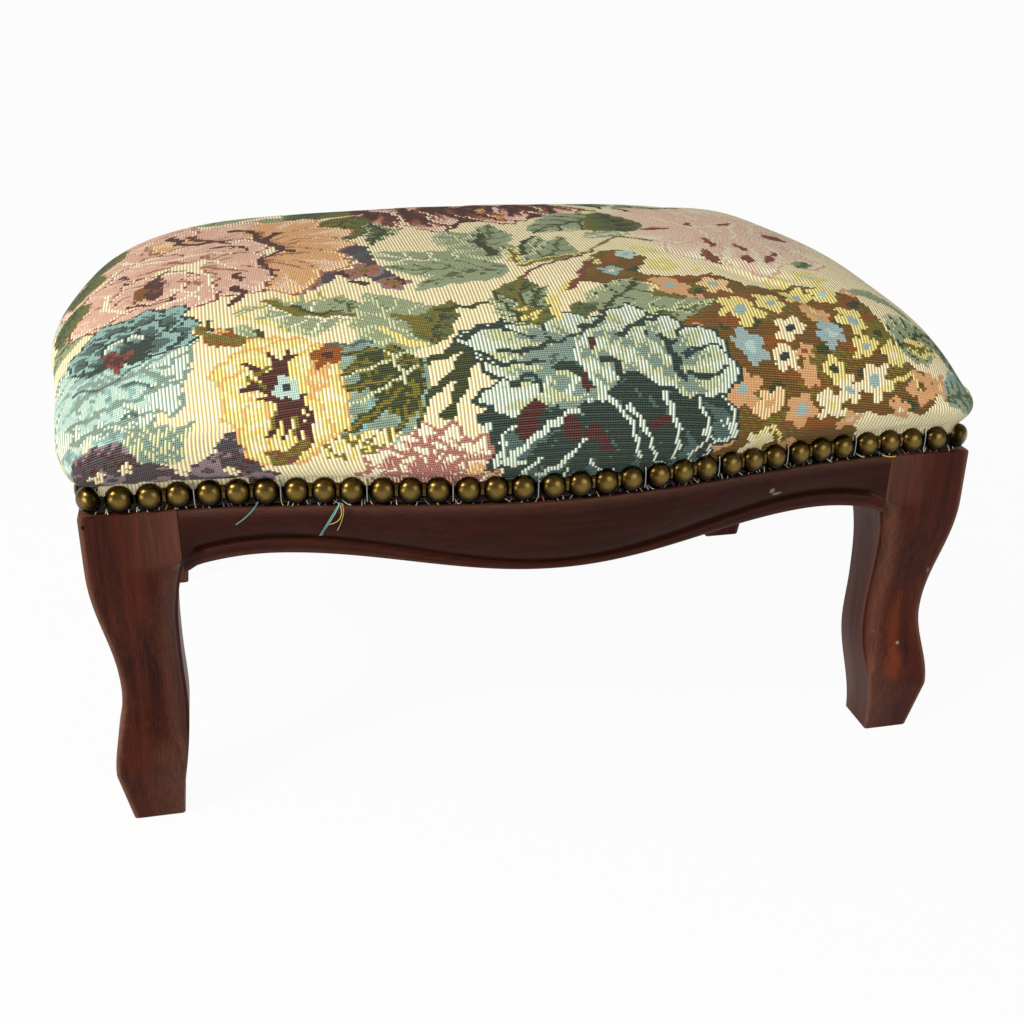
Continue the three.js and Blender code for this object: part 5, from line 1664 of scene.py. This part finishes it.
class FOOTSTOOL_OT_foam(FootstoolOperator, bpy.types.Operator):
    """Foam pad under the cover"""
    bl_idname = "footstool.foam"
    bl_label = "Foam pad"

    def execute(self, context):
        seat, rail = context.scene.footstool_seat, context.scene.footstool_rails
        rings = cover_rings(seat, rail)[PAD_RINGS, ::PAD_COLUMNS]
        points = rings * PAD_SCALE - np.array([0, 0, seat.cloth + PAD_GAP])
        points[0, :, 2] = float(BOARD_HIGH[2]) + PAD_GAP
        material = foam_material(context.scene.footstool_finishes)
        made = piece("foam_pad_cut", points, loft_faces(*rings.shape[:2]), material, ["foam_pad"])
        return {"FINISHED"}


class FOOTSTOOL_OT_cover(FootstoolOperator, bpy.types.Operator):
    """Tapestry cover, drawn over the pad and held by the nails"""
    bl_idname = "footstool.cover"
    bl_label = "Tapestry cover"

    def execute(self, context):
        seat, rail = context.scene.footstool_seat, context.scene.footstool_rails
        points, quads, effect, threads = cover_mesh(seat, rail)
        made = piece("cover_tapestry", points, quads.tolist(), tapestry_material(), ["tapestry_cover"],
                     {"yarn": ("FLOAT", "FACE", effect)}, smooth=80)
        layer = made.data.uv_layers.new(name="Threads")
        layer.data.foreach_set("uv", threads[quads.ravel()].astype("f").ravel())
        points, faces, dyes = frayed_edge(seat, rail, context.scene.footstool_nails)
        edge = piece("cover_frayed_edge", points, faces, yarn_material(),
                     attributes={"dye": ("FLOAT_COLOR", "POINT", dyes)}, smooth=80)
        return {"FINISHED"}


class FOOTSTOOL_OT_nails(FootstoolOperator, bpy.types.Operator):
    """Strips of pressed brass nail heads"""
    bl_idname = "footstool.nails"
    bl_label = "Nail strips"

    def execute(self, context):
        scene = context.scene
        seat, rail, nails = scene.footstool_seat, scene.footstool_rails, scene.footstool_nails
        line, places, ends = nail_line(seat, rail)
        material = brass_material(scene.footstool_finishes)
        draw = np.random.default_rng(7)
        for turn, (side, counts) in enumerate(SIDES):
            start, end = ends[turn], ends[turn + 1]
            between = int(math.floor((end - start) / nails.pitch + 0.5))
            heads = np.linspace(start, end, between + 1)[1:-1]
            strips = {f"nail_corner_{turn + 1}": [start]}
            for number, part in enumerate(split_heads(heads, counts)):
                middle = 0.5 * (part[0] + part[-1])
                drawn = middle + (part - middle) * (1 - nails.draw_in)
                strips[f"nail_strip_{side}_{number + 1:02d}"] = drawn
            for name, part in strips.items():
                points, faces, crown = strip_mesh(part, line, places, nails, draw)
                # The crown attribute carries rubbing and the painted light on each head's upper half
                piece(f"{name}_pressed", points, faces, material, [name],
                      {"crown": ("FLOAT", "POINT", crown)}, smooth=60)
        return {"FINISHED"}


# Share by which the backdrop shines on its own where the camera sees it
BACKDROP_WHITE = 0.95


def area_lamp(name, place, target, size, power, tint):
    """Soft round lamp that shines on a target"""
    data = bpy.data.lights.new(name, "AREA")
    data.shape = "DISK"
    data.size, data.energy, data.color = size, power, linear(tint)[:3]
    lamp = bpy.data.objects.new(name, data)
    lamp.location = place
    lamp.rotation_euler = (Vector(target) - Vector(place)).to_track_quat("-Z", "Y").to_euler()
    bpy.context.scene.collection.objects.link(lamp)


def backdrop_material(finish):
    """Paper backdrop: white to the camera and in reflections, and it still takes a soft shadow"""
    material, tree = new_material("paper_backdrop")
    paper = node(tree, "BsdfPrincipled", Base_Color=finish.paper, Roughness=0.9)
    rays = node(tree, "LightPath").node.outputs
    seen = node(tree, "Math", rays["Is Camera Ray"], rays["Is Glossy Ray"], operation="MAXIMUM")
    seen = node(tree, "Math", seen, rays["Is Transmission Ray"], operation="MAXIMUM")
    share = node(tree, "Math", seen, BACKDROP_WHITE, operation="MULTIPLY")
    white = node(tree, "Emission", Color=linear("#FFFFFF"), Strength=1.0)
    node(tree, "OutputMaterial", node(tree, "MixShader", share, paper, white))
    return material


class FOOTSTOOL_OT_stage(FootstoolOperator, bpy.types.Operator):
    """Camera, lamps, floor and backdrop"""
    bl_idname = "footstool.stage"
    bl_label = "Stage"

    def execute(self, context):
        scene, stage = context.scene, context.scene.footstool_stage
        turn = Vector(stage.turn)
        spin = Matrix.Rotation(turn.length, 3, turn.normalized())
        level = Matrix(((1, 0, 0), (0, 0, -1), (0, 1, 0)))
        right, down, ahead = spin @ level
        pose = Matrix((right, -down, -ahead)).transposed().to_4x4()
        pose.translation = Vector(stage.eye)
        camera = bpy.data.cameras.new("camera")
        camera.sensor_width = SENSOR_WIDTH
        camera.lens = stage.focal_pixels / PICTURE_WIDTH * SENSOR_WIDTH
        holder = bpy.data.objects.new("camera", camera)
        holder.matrix_world = pose
        scene.collection.objects.link(holder)
        scene.camera = holder
        area_lamp("key", (-1.0, -0.6, 1.0), (0, 0, 0.1), 0.3, stage.key_power, "#FFF6E6")
        area_lamp("fill", (0.7, -1.4, 0.55), (0, 0, 0.1), 0.9, stage.fill_power, "#FAFAFA")
        area_lamp("side", (-1.1, -0.75, 0.16), (0, 0, 0.08), 0.5, stage.side_power, "#FFFAF4")
        world = bpy.data.worlds.new("studio")
        world.use_nodes = True
        world.node_tree.nodes["Background"].inputs["Color"].default_value = linear("#FFFFFF")
        world.node_tree.nodes["Background"].inputs["Strength"].default_value = stage.ambient
        scene.world = world
        # Floor, round bend and wall of the backdrop, seen from its side
        reach, rise, bend, radius, steps = 3.0, 2.5, 1.0, 0.8, 16
        profile = [(-reach, 0), (bend, 0)]
        profile += [(bend + radius * math.sin(a), radius - radius * math.cos(a))
                    for a in quarter(0, 90, steps)[1:]]
        profile.append((bend + radius, rise))
        points = [(x, y, z) for y, z in profile for x in (-reach, reach)]
        faces = [(2 * i, 2 * i + 1, 2 * i + 3, 2 * i + 2) for i in range(len(profile) - 1)]
        mesh = bpy.data.meshes.new("backdrop")
        mesh.from_pydata(points, [], faces)
        mesh.shade_smooth()
        mesh.materials.append(backdrop_material(scene.footstool_finishes))
        sweep = bpy.data.objects.new("backdrop", mesh)
        scene.collection.objects.link(sweep)
        scene.view_settings.view_transform = "Standard"
        return {"FINISHED"}


OPERATORS = (FOOTSTOOL_OT_stage, FOOTSTOOL_OT_legs, FOOTSTOOL_OT_rails, FOOTSTOOL_OT_inner_frame,
             FOOTSTOOL_OT_foam, FOOTSTOOL_OT_cover, FOOTSTOOL_OT_nails)


class FOOTSTOOL_PT_pieces(bpy.types.Panel):
    """Lists the footstool's pieces"""
    bl_label = "Footstool"
    bl_space_type = "VIEW_3D"
    bl_region_type = "UI"
    bl_category = "Footstool"

    def draw(self, context):
        for operator in OPERATORS:
            self.layout.operator(operator.bl_idname)


GROUPS = {
    "footstool_legs": FootstoolLegs,
    "footstool_rails": FootstoolRails,
    "footstool_seat": FootstoolSeat,
    "footstool_nails": FootstoolNails,
    "footstool_finishes": FootstoolFinishes,
    "footstool_stage": FootstoolStage,
}


def register():
    for group in (*GROUPS.values(), *OPERATORS, FOOTSTOOL_PT_pieces):
        bpy.utils.register_class(group)
    for name, group in GROUPS.items():
        setattr(bpy.types.Scene, name, PointerProperty(type=group))


def unregister():
    for name in GROUPS:
        delattr(bpy.types.Scene, name)
    for group in reversed((*GROUPS.values(), *OPERATORS, FOOTSTOOL_PT_pieces)):
        bpy.utils.unregister_class(group)


def main():
    register()
    for operator in OPERATORS:
        group, name = operator.bl_idname.split(".")
        getattr(getattr(bpy.ops, group), name)()


if __name__ == "__main__":
    main()
